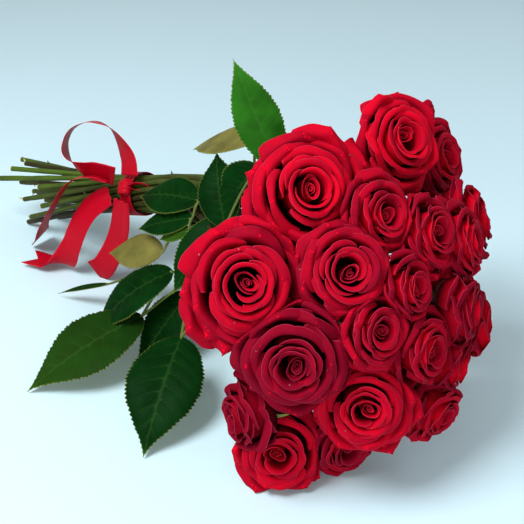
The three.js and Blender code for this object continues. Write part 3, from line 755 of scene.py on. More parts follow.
def petal(random, share, place):
    """One petal as a grid in the flower's own frame, in shares of its width.

    share: 0 for the innermost petal, 1 for the outermost. place: as rim_place gives it.
    """
    rim_radius, rim_height, lean, half_width = place
    lean = math.radians(lean)
    # v runs from the base of the petal to its rim, and u from its left side to its right.
    t = np.linspace(0, 1, PETAL_ROWS)[:, None]
    v = 1 - (1 - t) ** ROW_CROWDING
    u = np.linspace(-1, 1, PETAL_COLUMNS)[None, :]
    u = np.sign(u) * np.abs(u) ** COLUMN_CROWDING
    length = PETAL_DEPTH + rim_height + 0.6 * rim_radius
    # The top edge falls away towards the two corners, more on an outer petal.
    shoulder = 0.07 + 0.12 * share
    along = v * (1 - shoulder * np.abs(u) ** 2.6) * length
    # At its base a petal is about a third as wide as near its rim.
    spread = 0.35 + 0.65 * np.sin(np.minimum(v * 1.15, 1) * math.pi / 2)
    across = u * half_width * spread
    # The middle of the rim is drawn out to a low point.
    point = random.uniform(0.02, 0.12) * share**2
    along = along + point * np.exp(-((u / 0.4) ** 2)) * v**6
    # An outer petal rolls its corners back further, and round softer rolls.
    curl_radius = 0.009 + 0.015 * share + random.uniform(0, 0.008)
    fold_top = 0.965 - 0.02 * share + random.uniform(-0.015, 0.015)
    fold_side = fold_top - 0.05 - 0.36 * share**2 * random.uniform(0.6, 1.2)
    most = math.radians(50 + 100 * share * random.uniform(0.5, 1.1))
    across, along, behind = curl_back(across, along, half_width, length, fold_top, fold_side,
                                      curl_radius, most)
    # The rim waves, and the wave fades towards the base.
    ripple = np.sin(u * random.uniform(3, 5) + random.uniform(0, 6)) \
        + 0.6 * np.sin(u * random.uniform(7, 10) + random.uniform(0, 6))
    behind = behind + ripple * v**4 * (0.002 + 0.009 * share**1.5)
    # The cup of the petal is a curve in radius and height, from its base over its belly to its rim.
    s = along / length
    belly = rim_radius * 0.85 + 0.1
    reach = 0.16 + 0.06 * share
    corners = list(zip(
        PETAL_BASE, (belly, BELLY_HEIGHT),
        (rim_radius - reach * math.sin(lean), rim_height - reach * math.cos(lean)),
        (rim_radius, rim_height)))
    r, z = ((1 - s) ** 3 * a + 3 * (1 - s) ** 2 * s * b + 3 * (1 - s) * s**2 * c + s**3 * d
            for a, b, c, d in corners)
    slope_r, slope_z = (3 * (1 - s) ** 2 * (b - a) + 6 * (1 - s) * s * (c - b) + 3 * s**2 * (d - c)
                        for a, b, c, d in corners)
    size = np.hypot(slope_r, slope_z)
    out_r, out_z = slope_z / size, -slope_r / size
    # One side of each petal lies inside its neighbour and the other side outside.
    r = r * FULLNESS * (1 + SIDE_OVERLAP * u * (1 - 0.4 * share)) + behind * out_r
    z = z + behind * out_z
    angle = np.clip(across / max(rim_radius, 0.02), -WIDEST_WRAP, WIDEST_WRAP)
    grid = np.stack([r * np.cos(angle), r * np.sin(angle), z], -1)
    rim = np.minimum(1 - v, (1 - np.abs(u)) * 0.6) * length * np.ones_like(grid[..., 0])
    return grid, rim, v * np.ones_like(rim), across, along


def flower_frame(face):
    """Two directions across a flower and the one it faces, as columns."""
    face = unit(face)
    right = unit(np.cross([0, 0, 1], face))
    return np.stack([right, np.cross(face, right), face], -1)


def pressed(points, rose, index):
    """Where two flowers meet, their petals press against each other and not through."""
    for other_index, other in enumerate(ROSE_PLACES):
        if other_index == index:
            continue
        between = rose["middle"] - other["middle"]
        distance = np.linalg.norm(between)
        if distance > (rose["width"] + other["width"]) * NEIGHBOUR_REACH:
            continue
        normal = between / distance
        plane = other["middle"] + normal * distance * other["width"] / (rose["width"] + other["width"])
        clear = (points - plane) @ normal
        near = clear < PRESS_MARGIN
        depth = PRESS_MARGIN + PRESS_OVERLAP
        squeezed = depth * np.exp((clear[near] - PRESS_MARGIN) / depth) - PRESS_OVERLAP
        points[near] += np.outer(squeezed - clear[near], normal)
    return points


def build_flower(index, settings, material):
    """Folded middle petals, open petals, guard petals and strays, one after the other."""
    rose = ROSE_PLACES[index]
    name = f"rose_{index + 1:02d}"
    random = np.random.default_rng(PETAL_SEED + index)
    count = round(settings.count * (CLOSED_COUNT + (1 - CLOSED_COUNT) * rose["openness"]))
    strays = [row[1:] for row in STRAY_PETALS if row[0] == index + 1]
    turn = flower_frame(rose["face"])
    builder = Builder()
    start = random.uniform(0, 2 * math.pi)
    oval = random.uniform(0.92, 1.0)
    aside = random.normal(0, CORE_ASIDE, 2)
    slant = random.uniform(0, math.pi)
    direction = np.array([math.cos(slant), math.sin(slant)])
    fold = np.eye(2) - FOLDED_FLAT * np.outer(direction, direction)
    thickness = settings.thickness / MM
    for k in range(count + GUARD_PETALS + len(strays)):
        share = min(k / (count - 1), 1)
        place = rim_place(random, k, count, rose["openness"])
        angle = start + k * GOLDEN_ANGLE + random.normal(0, 0.2)
        if k >= count + GUARD_PETALS:
            degrees, *place = strays[k - count - GUARD_PETALS]
            angle = math.radians(degrees)
        grid, rim, height, across, along = petal(random, share, place)
        c, s = math.cos(angle), math.sin(angle)
        grid = grid @ np.array([[c, s, 0], [-s, c, 0], [0, 0, 1]])
        grid[..., 2] += random.normal(0, 0.03) * share * grid[..., 0]
        grid[..., 0] *= oval
        if k < CORE_PETALS:
            grid[..., :2] = grid[..., :2] @ fold + aside
        grid = (grid * rose["width"]) @ turn.T + rose["eye"]
        rim, across, along = (values * rose["width"] for values in (rim, across, along))
        thin = thickness * (0.35 + 0.65 * np.minimum(rim / THIN_RIM, 1))
        points, faces, back = shell(grid, thin)
        tone = rose["darkening"] * 0.8 + random.uniform(0, 0.25) + 0.1 * share
        builder.add(points, faces, back=back, rim_mm=twice(rim), height=twice(height),
                    across_mm=twice(across) + VEIN_SHIFT * k, along_mm=twice(along), tone=tone)
    piece = builder.finish(name + "_petals", material,
                           lambda points: off_the_floor(pressed(points, rose, index)))
    hand_over(piece, "petals", name)


def dew_tree(material):
    """Geometry Nodes: flattened beads of water at random near the rims of the petals."""
    tree, given = new_tree("dew_on_petals", "Petals", ("Density", "Radius"), "Dew")
    height = add_node(tree, "GeometryNodeInputNamedAttribute", {"Name": "height"}, data_type="FLOAT")
    outer = add_node(tree, "FunctionNodeCompare", {"A": height.outputs[0], "B": DEW_ABOVE},
                     data_type="FLOAT", operation="GREATER_THAN")
    spots = add_node(tree, "GeometryNodeDistributePointsOnFaces", {
        "Mesh": given["Petals"], "Selection": outer.outputs[0],
        "Density": given["Density"], "Seed": given["Seed"]})
    bead = add_node(tree, "GeometryNodeMeshIcoSphere", {"Radius": given["Radius"], "Subdivisions": 2})
    flat = add_node(tree, "GeometryNodeTransform", {
        "Geometry": bead.outputs["Mesh"], "Scale": (1.0, 1.0, 0.6)})
    size = add_node(tree, "FunctionNodeRandomValue", {"Min": 0.5, "Max": 1.2, "Seed": given["Seed"]},
                    data_type="FLOAT")
    drops = add_node(tree, "GeometryNodeInstanceOnPoints", {
        "Points": spots.outputs["Points"], "Instance": flat.outputs[0],
        "Rotation": spots.outputs["Rotation"], "Scale": size.outputs["Value"]})
    solid = add_node(tree, "GeometryNodeRealizeInstances", {"Geometry": drops.outputs[0]})
    wet = add_node(tree, "GeometryNodeSetMaterial", {"Geometry": solid.outputs[0], "Material": material})
    add_node(tree, "NodeGroupOutput", {"Dew": wet.outputs[0]})
    return tree


def build_dew(index, tree):
    name = f"rose_{index + 1:02d}"
    piece = add_object(name + "_dew", bpy.data.objects[name + "_petals"].data.copy())
    through_nodes(piece, tree, density=DEW_DENSITY, radius=DEW_RADIUS * MM, seed=index)
    hand_over(piece, "petals")


def build_calyx(builder, rose, random):
    """The green cup under a flower and its five sepals, which hang back along the stem."""
    width = rose["width"]
    turn = flower_frame(rose["face"])
    angle = np.linspace(0, 2 * math.pi, CUP_SIDES, endpoint=False)
    front = np.array([[(r * math.cos(a), r * math.sin(a), h) for a in angle] for r, h in CUP_OUTLINE])
    front = (front * width) @ turn.T + rose["eye"]
    points, faces, _ = shell(front[::-1], 0.8, closed=True)
    builder.add(points, faces, back=0.0, vein=0.0, rim_mm=INLAND, turning=0.0)
    for k in range(SEPALS):
        a = k * 2 * math.pi / SEPALS + random.normal(0, 0.1)
        t = np.linspace(0, 1, SEPAL_ROWS)
        # A sepal leaves the cup, widens, and hangs back along the stem.
        droop = random.uniform(0.6, 1.3)
        r = 0.08 + 0.2 * np.sin(t * 1.5) * droop
        h = -0.6 + 0.05 * np.sin(t * 3) - 0.22 * t**2 * droop
        wide = 0.045 * np.sin(math.pi * np.clip(t, 0.03, 0.97)) ** 0.6 * (1 - 0.55 * t)
        u = np.linspace(-1, 1, SEPAL_COLUMNS)
        line = np.stack([r * math.cos(a), r * math.sin(a), h], -1)
        side = np.array([-math.sin(a), math.cos(a), 0])
        grid = line[:, None] + side * (wide[:, None, None] * u[None, :, None])
        grid[..., 2] += 0.4 * wide[:, None] * u[None, :] ** 2
        grid = (grid * width) @ turn.T + rose["eye"]
        points, faces, back = shell(grid, 0.5)
        builder.add(points, faces, back=back, vein=0.0, rim_mm=INLAND, turning=0.0)


# ---------------------------------------------------------------- leaves

BLADE_ROWS = 97
BLADE_COLUMNS = 19
SIDE_VEINS = 9
TOOTH_DEPTH = 0.045  # these four are shares of the blade's width
QUILT_RISE = 0.016
WAVE_RISE = 0.05
FOLD_RISE = 0.13
NARROWEST = 0.25  # millimetres that the two ends of a blade keep
STALK_RINGS = 16
STALK_SIDES = 8
STALK_RADII = (1.15, 0.7)
STALK_IN_BLADE = 0.06  # how far a stalk runs along its blade, as a share of the blade
# Blades that are turning yellow-green, by leaf and place on it.
TURNING = {("leaf_front", 0): 0.12, ("leaf_by_tie", 2): 0.35}


def blade_grid(base, tip, width, facing, arch, tooth, random):
    """A toothed rose leaf: folded a little along its midrib, quilted between its side veins."""
    base, tip = at(base), at(tip)
    facing = unit(np.array(facing, float))
    bend = (base + tip) / 2 + facing * arch * 2
    t = np.linspace(0, 1, BLADE_ROWS)
    rib = np.outer((1 - t) ** 2, base) + np.outer(2 * t * (1 - t), bend) + np.outer(t**2, tip)
    tangent = unit(np.gradient(rib, axis=0))
    side = unit(np.cross(tangent, facing))
    normal = np.cross(side, tangent)
    length = np.linalg.norm(np.diff(rib, axis=0), axis=1).sum()
    # Widest a little below its middle, and drawn out to a long tip.
    inner = np.clip(t, 0.004, 0.996)
    half = width / 2 * np.sin(math.pi * inner**0.8) ** (0.62 + 0.75 * inner)
    teeth = max(6, round(length / tooth))
    saw = (t * teeth) % 1.0
    u = np.linspace(-1, 1, BLADE_COLUMNS)
    bite = TOOTH_DEPTH * width * (saw - 0.35) * np.sin(math.pi * inner) ** 0.5
    reach = half[:, None] * np.abs(u)[None, :] + bite[:, None] * np.abs(u)[None, :] ** 6
    reach = np.maximum(reach, np.abs(u)[None, :] * NARROWEST)
    # Side veins leave the midrib and bend towards the tip.
    phase = t[:, None] * SIDE_VEINS - 1.5 * np.abs(u)[None, :] ** 1.3 + 0.5 * (u[None, :] > 0)
    ridge = np.abs(np.sin(math.pi * phase))
    vein = np.exp(-((ridge / 0.28) ** 2)) * (1 - 0.5 * np.abs(u)[None, :])
    vein = np.maximum(vein, np.exp(-((u[None, :] * half[:, None] / 0.9) ** 2)))
    quilt = QUILT_RISE * width * ridge * (1 - u[None, :] ** 4) * np.minimum(half[:, None] / 10, 1)
    wave = WAVE_RISE * width * np.sin(t[:, None] * 9 + random.uniform(0, 6)) \
        * u[None, :] * np.abs(u)[None, :]
    fold = FOLD_RISE * half[:, None] * (np.abs(u)[None, :] - 0.9 * np.abs(u)[None, :] ** 3)
    rise = fold + quilt * 0.5 + wave * 0.35 * np.sin(math.pi * t)[:, None]
    grid = rib[:, None] + side[:, None] * (np.sign(u)[None, :] * reach)[..., None] \
        + normal[:, None] * rise[..., None]
    rim = half[:, None] * (1 - np.abs(u))[None, :] * np.ones_like(ridge)
    return grid, vein, rim


def build_leaf(name, settings, material):
    """The blades of one leaf and the stalk that runs from its stem on from blade to blade."""
    _, stalk, blades = LEAVES[name]
    random = np.random.default_rng(len(name) * 7 + 3)
    builder = Builder()
    for place, (base, tip, width, facing, arch) in enumerate(blades):
        grid, vein, rim = blade_grid(base, tip, width, facing, arch, settings.tooth / MM, random)
        points, faces, back = shell(grid, settings.thickness / MM)
        ripe = TURNING.get((name, place), 0.0)
        turning = ripe * np.linspace(0.3, 1, BLADE_ROWS)[:, None] * np.ones_like(rim)
        builder.add(points, faces, back=back, vein=twice(vein), rim_mm=twice(rim),
                    turning=twice(turning))
        middle = (at(stalk) + at(base)) / 2 + np.array([0, 0, STALK_RISE])
        inside = at(base) * (1 - STALK_IN_BLADE) + at(tip) * STALK_IN_BLADE
        line, _ = route([at(stalk), middle, at(base), inside], STALK_RINGS)
        stalk = base
        tangent = unit(np.gradient(line, axis=0))
        one = unit(np.cross(tangent, [0.3, 0.2, 1]))
        other = np.cross(tangent, one)
        a = np.linspace(0, 2 * math.pi, STALK_SIDES, endpoint=False)
        radius = np.linspace(*STALK_RADII, len(line))
        tube = line[:, None] + (np.cos(a)[None, :, None] * one[:, None] + np.sin(a)[None, :, None]
                                * other[:, None]) * radius[:, None, None]
        points, faces, _ = shell(tube[:, ::-1], 0.5, closed=True)
        builder.add(points, faces, back=0.5, vein=0.0, rim_mm=INLAND, turning=0.0)
    piece = builder.finish(name + "_blades", material, lambda p: off_the_floor(p, 2.0, 0.2))
    hand_over(piece, "leaves", name)


# ---------------------------------------------------------------- stems

STEM_RINGS = 90
STEM_SIDES = 12
THORN_SHARE = 0.45  # of the places along a stem where a thorn could stand
THORN_SIDES = 6
THORN_TIP = 0.12 * MM
THORN_FOOT = 1.3 * MM
THORN_LEAN = (-0.35, -0.35, -0.35)  # thorns point back towards the cut end
THORN_SEED = 5


def stem_tree(material):
    """Geometry Nodes: round stems of uneven thickness along the lines, with thorns at random."""
    tree, given = new_tree(
        "stems_with_thorns", "Lines", ("Radius", "Thorn Spacing", "Thorn Length"), "Stems")
    curve = add_node(tree, "GeometryNodeMeshToCurve", {"Mesh": given["Lines"]}).outputs[0]
    smooth = add_node(tree, "GeometryNodeCurveSplineType", {"Curve": curve},
                      spline_type="CATMULL_ROM").outputs[0]
    fine = add_node(tree, "GeometryNodeResampleCurve", {"Curve": smooth, "Count": STEM_RINGS}).outputs[0]
    along = add_node(tree, "GeometryNodeSplineParameter").outputs["Factor"]
    marked = add_node(tree, "GeometryNodeStoreNamedAttribute", {
        "Geometry": fine, "Name": "along", "Value": along},
        data_type="FLOAT", domain="POINT").outputs[0]
    which = add_node(tree, "GeometryNodeCurveOfPoint").outputs["Curve Index"]
    tone = add_node(tree, "FunctionNodeRandomValue", {"ID": which, "Seed": given["Seed"]},
                    data_type="FLOAT").outputs["Value"]
    toned = add_node(tree, "GeometryNodeStoreNamedAttribute", {
        "Geometry": marked, "Name": "stem_tone", "Value": tone},
        data_type="FLOAT", domain="POINT").outputs[0]
    # Knuckles where leaves once grew: the stem swells a tenth every few centimetres.
    place = add_node(tree, "GeometryNodeInputPosition").outputs[0]
    swell = add_node(tree, "ShaderNodeTexNoise", {
        "Vector": place, "Scale": 1 / (28 * MM), "Detail": 1.0}).outputs["Fac"]
    girth = add_node(tree, "ShaderNodeMapRange", {
        "Value": swell, "From Min": 0.3, "From Max": 0.7, "To Min": 0.86, "To Max": 1.08})
    ring = add_node(tree, "GeometryNodeCurvePrimitiveCircle", {
        "Resolution": STEM_SIDES, "Radius": given["Radius"]}).outputs[0]
    rods = add_node(tree, "GeometryNodeCurveToMesh", {
        "Curve": toned, "Profile Curve": ring, "Scale": girth.outputs[0],
        "Fill Caps": True}).outputs[0]
    spots = add_node(tree, "GeometryNodeCurveToPoints", {
        "Curve": toned, "Length": given["Thorn Spacing"]}, mode="LENGTH")
    spin = add_node(tree, "FunctionNodeRandomValue", {
        "Min": 0.0, "Max": 2 * math.pi, "Seed": given["Seed"]}, data_type="FLOAT")
    out = add_node(tree, "ShaderNodeVectorRotate", {
        "Vector": spots.outputs["Normal"], "Axis": spots.outputs["Tangent"],
        "Angle": spin.outputs["Value"]}).outputs[0]
    onto = add_node(tree, "ShaderNodeVectorMath", {0: out, "Scale": given["Radius"]}, operation="SCALE")
    moved = add_node(tree, "GeometryNodeSetPosition", {
        "Geometry": spots.outputs["Points"], "Offset": onto.outputs[0]}).outputs[0]
    pick = add_node(tree, "FunctionNodeRandomValue", {
        "Probability": THORN_SHARE, "Seed": given["Seed"]}, data_type="BOOLEAN")
    size = add_node(tree, "FunctionNodeRandomValue", {"Min": 0.6, "Max": 1.1, "Seed": given["Seed"]},
                    data_type="FLOAT")
    lean = add_node(tree, "ShaderNodeVectorMath", {
        0: spots.outputs["Tangent"], 1: THORN_LEAN, 2: out}, operation="MULTIPLY_ADD").outputs[0]
    aim = add_node(tree, "FunctionNodeAlignRotationToVector", {"Vector": lean}, axis="Z")
    cone = add_node(tree, "GeometryNodeMeshCone", {
        "Vertices": THORN_SIDES, "Radius Top": THORN_TIP, "Radius Bottom": THORN_FOOT,
        "Depth": given["Thorn Length"]}).outputs["Mesh"]
    thorns = add_node(tree, "GeometryNodeInstanceOnPoints", {
        "Points": moved, "Selection": pick.outputs["Value"], "Instance": cone,
        "Rotation": aim.outputs[0], "Scale": size.outputs["Value"]}).outputs[0]
    both = tree.nodes.new("GeometryNodeJoinGeometry")
    tree.links.new(rods, both.inputs[0])
    tree.links.new(thorns, both.inputs[0])
    solid = add_node(tree, "GeometryNodeRealizeInstances", {"Geometry": both.outputs[0]}).outputs[0]
    painted = add_node(tree, "GeometryNodeSetMaterial", {"Geometry": solid, "Material": material})
    add_node(tree, "NodeGroupOutput", {"Stems": painted.outputs[0]})
    return tree


def build_stems(settings, material):
    points, edges = [], []
    for line in STEM_LINES:
        first = len(points)
        points += (line * MM).tolist()
        edges += [(i, i + 1) for i in range(first, len(points) - 1)]
    mesh = bpy.data.meshes.new("stem_lines")
    mesh.from_pydata(points, edges, [])
    piece = add_object("stems_and_thorns", mesh)
    through_nodes(piece, stem_tree(material), radius=settings.diameter / 2,
                  thorn_spacing=settings.thorn_spacing, thorn_length=settings.thorn_length,
                  seed=THORN_SEED)
    hand_over(piece, "stems", *STEM_NAMES)


# ---------------------------------------------------------------- ribbon

RIBBON_COLUMNS = 11
LOOP_ROWS = 90
TAIL_ROWS = 80
TAIL_PINCH = 0.3
PINCH_LENGTH = 14  # how soon a pinched ribbon widens again
WRAP_ROWS = 17
WRAP_SIDES = 72
# The two visible turns of the band: radius, shift along the bundle as a share of its width, slant.
WRAP_BANDS = [(WRAP_INSIDE + 0.6, -0.08, 1.5), (WRAP_OUTSIDE, 0.06, -2)]
KNOT_ROWS = 21
KNOT_SIDES = 40
KNOT_RADIUS = 8.5
KNOT_HALF_LENGTH = 8
KNOT_WEAVE = 8  # the radius that the weave is laid round the knot by
# A little turned-up end of ribbon stands beside the knot.
EAR_ROUTE = [(4, 4, 2), (12, 8, 6), (20, 13, 5), (22, 15, 0), (15, 10, -3), (7, 5, -2)]
EAR_TWIST = (0.5, -0.6, 0.6)
EAR_WIDTH = 15
EAR_ROWS = 40


def knot_place():
    """The middle of the knot, and the way it stands out from the bundle."""
    towards = KNOT_SIDE.copy()
    towards -= BUNDLE_AXIS * towards.dot(BUNDLE_AXIS)
    towards.normalize()
    return TIE + BUNDLE_AXIS * KNOT_FORWARD + towards * (WRAP_OUTSIDE + KNOT_PROUD), towards


KNOT, KNOT_OUT = knot_place()


def ribbon_strip(points, twist, width, rows, cut=0.0, cup=0.0, pinch=0.0):
    """A length of ribbon along a route. twist: directions of its width at even steps along it.

    cut: depth of the swallow tail at its far end. cup: how far its edges curl.
    pinch: how much narrower it is at the knot.
    """
    line, length = route(points, rows)
    t = np.linspace(0, 1, rows)
    tangent = unit(np.gradient(line, axis=0))
    steps = np.linspace(0, 1, len(twist))
    side = np.stack([np.interp(t, steps, [row[k] for row in twist]) for k in range(3)], -1)
    side = unit(side - tangent * (side * tangent).sum(1, keepdims=True))
    normal = np.cross(side, tangent)
    u = np.linspace(-1, 1, RIBBON_COLUMNS)
    narrow = 1 - pinch * np.exp(-t * length / PINCH_LENGTH)
    half = width / 2 * narrow
    grid = line[:, None] + side[:, None] * (half[:, None] * u[None])[..., None]
    # A pinched ribbon is pleated lengthwise.
    gathers = np.sin(u * 7)[None] * (1 - narrow)[:, None] * 4
    lift = cup * (u[None] ** 2 - 0.4) * np.sin(math.pi * t)[:, None] + gathers
    grid = grid + normal[:, None] * lift[..., None]
    # The far end is cut back to a notch in the middle.
    near_end = np.clip((t[:, None] * length - (length - 2 * cut)) / (2 * cut + 1e-6), 0, 1)
    back = cut * (1 - np.abs(u))[None] * near_end
    grid = grid - tangent[:, None] * back[..., None]
    rim = np.broadcast_to(half[:, None] * (1 - np.abs(u))[None], grid.shape[:2])
    across = half[:, None] * u[None]
    along = np.broadcast_to((t * length)[:, None], grid.shape[:2])
    return grid, rim, across, along, length


def add_ribbon(builder, strip, thickness):
    grid, rim, across, along, _ = strip
    points, faces, back = shell(grid, thickness)
    builder.add(points, faces, back=back, rim_mm=twice(rim), across_mm=twice(across),
                along_mm=twice(along))


def build_loop(settings, material):
    up = Vector(np.cross(LOOP_WIDTH_DIRECTION, LOOP_ACROSS)).normalized()
    points = [at(KNOT + LOOP_ACROSS * a + up * b) for a, b in LOOP_OUTLINE]
    width = settings.width / MM
    strip = ribbon_strip(points, LOOP_TWIST, width, LOOP_ROWS)
    builder = Builder()
    add_ribbon(builder, strip, settings.thickness / MM)
    piece = builder.finish("ribbon_bow_loop", material)
    hand_over(piece, "ribbon", "ribbon_loop")


def build_tail(name, settings, material):
    points, start, end, cut = TAILS[name]
    width = settings.width / MM
    places = [at(Vector(p) + KNOT) for p in points]
    for p in places:
        p[2] = max(p[2], 1.0)
    strip = ribbon_strip(places, [start, start, end], width, TAIL_ROWS, cut=cut, pinch=TAIL_PINCH)
    builder = Builder()
    add_ribbon(builder, strip, settings.thickness / MM)
    piece = builder.finish(name + "_satin", material, lambda p: off_the_floor(p, 1.5, 0.3))
    hand_over(piece, "ribbon", name)


def build_wrap(settings, material):
    """Turns of ribbon drawn tight round the stems, the knot and a short end beside it."""
    axis = np.array(BUNDLE_AXIS)
    one = np.array(KNOT_OUT)
    other = np.cross(axis, one)
    thickness = settings.thickness / MM
    builder = Builder()
    a = np.linspace(0, 2 * math.pi, WRAP_SIDES, endpoint=False)
    w = np.linspace(-1, 1, WRAP_ROWS)
    for band, (radius, shift, slant) in enumerate(WRAP_BANDS):
        # Pleats gather towards the knot, which is at angle 0.
        gather = np.exp(-((np.minimum(a, 2 * math.pi - a) / 0.8) ** 2))
        pleat = 0.5 * np.sin(w[:, None] * 9 + band + 2 * np.sin(a)[None]) * (0.4 + gather[None])
        along = (w[:, None] * (WRAP_WIDTH / 2 * 0.92) * (1 - 0.45 * gather[None])
                 + shift * WRAP_WIDTH + slant * np.cos(a)[None] + KNOT_FORWARD * gather[None])
        r = radius + pleat + 0.5
        ring = (np.cos(a)[None, :, None] * one + np.sin(a)[None, :, None] * other) * r[..., None]
        grid = at(TIE) + ring + along[..., None] * axis
        points, faces, back = shell(grid[::-1], thickness, closed=True)
        rim = (1 - np.abs(w))[:, None] * WRAP_WIDTH / 2 * np.ones_like(r)
        across = w[:, None] * WRAP_WIDTH / 2 * np.ones_like(r)
        round_it = np.ones_like(w)[:, None] * a[None] * radius
        builder.add(points, faces, back=back, rim_mm=twice(rim[::-1]), across_mm=twice(across[::-1]),
                    along_mm=twice(round_it[::-1]))
    # The knot: a short tight band over the wrap, pleated and rounded.
    b = np.linspace(0, 2 * math.pi, KNOT_SIDES, endpoint=False)
    s = np.linspace(-1, 1, KNOT_ROWS)
    waist = KNOT_RADIUS - 2.2 * s[:, None] ** 2 + 0.7 * np.sin(s[:, None] * 10 + np.sin(b)[None])
    knot = (np.cos(b)[None, :, None] * one * 0.75 + np.sin(b)[None, :, None] * axis) * waist[..., None]
    grid = at(KNOT) + knot + (s * KNOT_HALF_LENGTH)[:, None, None] * other
    points, faces, back = shell(grid, thickness, closed=True)
    builder.add(points, faces, back=back, rim_mm=INLAND,
                across_mm=np.tile(np.repeat(s * KNOT_HALF_LENGTH, KNOT_SIDES), 2),
                along_mm=np.tile(b * KNOT_WEAVE, 2 * KNOT_ROWS))
    ear = [at(KNOT + Vector(p)) for p in EAR_ROUTE]
    strip = ribbon_strip(ear, [EAR_TWIST, EAR_TWIST], EAR_WIDTH, EAR_ROWS, cup=1.0)
    add_ribbon(builder, strip, thickness)
    piece = builder.finish("ribbon_band_and_knot", material)
    hand_over(piece, "ribbon", "ribbon_wrap")


# ---------------------------------------------------------------- operators


def settings_of(context):
    return context.scene.rose_bunch


class ROSES_OT_flowers(bpy.types.Operator):
    """Build the petals of every rose"""

    bl_idname = "roses.flowers"
    bl_label = "Flowers"

    def execute(self, context):
        settings = settings_of(context).petals
        material = velvet_petal(settings)
        for index in range(len(ROSES)):
            build_flower(index, settings, material)
        return {"FINISHED"}


class ROSES_OT_dew(bpy.types.Operator):
    """Scatter dew on some of the roses"""

    bl_idname = "roses.dew"
    bl_label = "Dew"

    def execute(self, context):
        tree = dew_tree(clear_water())
        for index in DEW_ROSES:
            build_dew(index, tree)
        return {"FINISHED"}


class ROSES_OT_calyxes(bpy.types.Operator):
    """Build the green cup and sepals under every rose"""

    bl_idname = "roses.calyxes"
    bl_label = "Calyxes"

    def execute(self, context):
        settings = settings_of(context).leaves
        material = waxy_leaf("rose_sepal", settings.sepal, settings.under)
        builder = Builder()
        random = np.random.default_rng(CALYX_SEED)
        for rose in ROSE_PLACES:
            build_calyx(builder, rose, random)
        piece = builder.finish("calyxes", material, off_the_floor)
        hand_over(piece, "leaves")
        return {"FINISHED"}


class ROSES_OT_stems(bpy.types.Operator):
    """Build the stems with their thorns"""

    bl_idname = "roses.stems"
    bl_label = "Stems"

    def execute(self, context):
        settings = settings_of(context).stems
        build_stems(settings, rose_bark(settings))
        return {"FINISHED"}


class ROSES_OT_leaves(bpy.types.Operator):
    """Build the toothed leaves on their stalks"""

    bl_idname = "roses.leaves"
    bl_label = "Leaves"

    def execute(self, context):
        settings = settings_of(context).leaves
        finishes = {
            "dark": waxy_leaf("rose_leaf_dark", settings.dark, settings.under),
            "bright": waxy_leaf("rose_leaf_young", settings.bright, settings.under),
            "olive": waxy_leaf("rose_leaf_turned", settings.olive, settings.under),
        }
        for name, (finish, _, _) in LEAVES.items():
            build_leaf(name, settings, finishes[finish])
        return {"FINISHED"}


class ROSES_OT_ribbon(bpy.types.Operator):
    """Build the ribbon's wrap, knot, loop and tails"""

    bl_idname = "roses.ribbon"
    bl_label = "Ribbon"

    def execute(self, context):
        settings = settings_of(context).ribbon
        material = satin_ribbon(settings)
        build_wrap(settings, material)
        build_loop(settings, material)
        for name in TAILS:
            build_tail(name, settings, material)
        return {"FINISHED"}


CAMERA_PLACE = (420, -553, 621)
CAMERA_TURN = 43  # degrees round the bunch from looking along +Y
CAMERA_ELEVATION = 34
CAMERA_LENS = 65.3
FLOOR_REACH = 4  # metres from the middle
LIT_POINT = (0.2, 0.0, 0.12)
WORLD_GREY = 0xE8E6E4
WORLD_STRENGTH = 0.5
# Place and size in metres, power in watts where no setting gives it, and colour.
WINDOW = ((-0.1, -0.8, 1.5), 0.8, 0xFFFFFF)
LIGHTS = {
    "fill": ((1.1, -1.3, 0.6), 0.9, 10, 0xFFF4F0),
    "back": ((1.0, 1.2, 1.3), 0.8, 6, 0xF4F8FF),
}


def soft_light(name, place, size, power, hex_colour):
    light = bpy.data.lights.new(name, "AREA")
    light.shape = "DISK"
    light.size = size
    light.energy = power
    light.color = linear(hex_colour)[:3]
    lamp = add_object(name, light)
    lamp.location = place
    lamp.rotation_euler = (Vector(LIT_POINT) - Vector(place)).to_track_quat("-Z", "Y").to_euler()


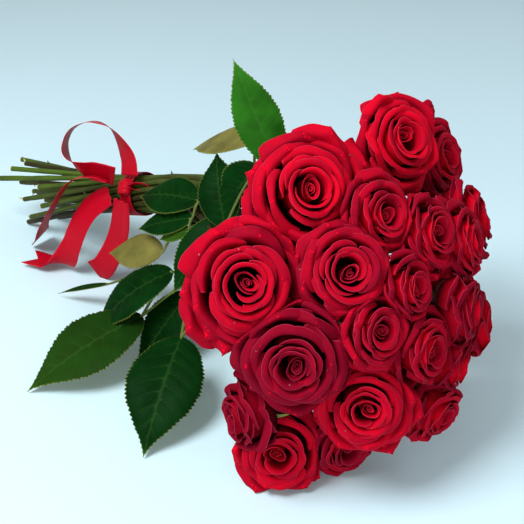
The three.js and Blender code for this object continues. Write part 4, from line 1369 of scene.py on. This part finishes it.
class ROSES_OT_stage(bpy.types.Operator):
    """Build the floor, lights and camera"""

    bl_idname = "roses.stage"
    bl_label = "Stage"

    def execute(self, context):
        scene = context.scene
        settings = settings_of(context).stage
        turn, raised = math.radians(CAMERA_TURN), math.radians(CAMERA_ELEVATION)
        back = Vector((math.sin(turn) * math.cos(raised), -math.cos(turn) * math.cos(raised),
                       math.sin(raised)))
        camera = bpy.data.cameras.new("camera")
        camera.lens = CAMERA_LENS
        camera.sensor_width = 36
        camera.clip_end = 50
        eye = add_object("camera", camera)
        eye.location = Vector(at(CAMERA_PLACE)) * MM
        eye.rotation_euler = (-back).to_track_quat("-Z", "Y").to_euler()
        scene.camera = eye
        mesh = bpy.data.meshes.new("floor")
        corners = [(x * FLOOR_REACH, y * FLOOR_REACH, 0) for x, y in ((-1, -1), (1, -1), (1, 1), (-1, 1))]
        mesh.from_pydata(corners, [], [(0, 1, 2, 3)])
        floor = new_piece("floor", mesh, matt_board(settings))
        world = bpy.data.worlds.new("studio")
        world.use_nodes = True
        set_inputs(world.node_tree, world.node_tree.nodes["Background"],
                   {"Color": linear(WORLD_GREY), "Strength": WORLD_STRENGTH})
        scene.world = world
        scene.view_settings.view_transform = "Standard"
        place, size, hex_colour = WINDOW
        soft_light("window", place, size, settings.key_power, hex_colour)
        for name, row in LIGHTS.items():
            soft_light(name, *row)
        return {"FINISHED"}


OPERATORS = [
    ROSES_OT_stems, ROSES_OT_flowers, ROSES_OT_dew, ROSES_OT_calyxes, ROSES_OT_leaves,
    ROSES_OT_ribbon, ROSES_OT_stage,
]


class ROSES_PT_panel(bpy.types.Panel):
    """The steps that build the bunch, in order"""

    bl_idname = "ROSES_PT_panel"
    bl_label = "Bunch of roses"
    bl_space_type = "VIEW_3D"
    bl_region_type = "UI"
    bl_category = "Roses"

    def draw(self, context):
        for operator in OPERATORS:
            self.layout.operator(operator.bl_idname)


CLASSES = [
    PetalSettings, LeafSettings, StemSettings, RibbonSettings, StageSettings, BunchSettings,
    *OPERATORS, ROSES_PT_panel,
]


def register():
    for cls in CLASSES:
        bpy.utils.register_class(cls)
    bpy.types.Scene.rose_bunch = bpy.props.PointerProperty(type=BunchSettings)


def unregister():
    del bpy.types.Scene.rose_bunch
    for cls in reversed(CLASSES):
        bpy.utils.unregister_class(cls)


def main():
    register()
    bpy.ops.roses.stems()
    bpy.ops.roses.flowers()
    bpy.ops.roses.dew()
    bpy.ops.roses.calyxes()
    bpy.ops.roses.leaves()
    bpy.ops.roses.ribbon()
    bpy.ops.roses.stage()


if __name__ == "__main__":
    main()
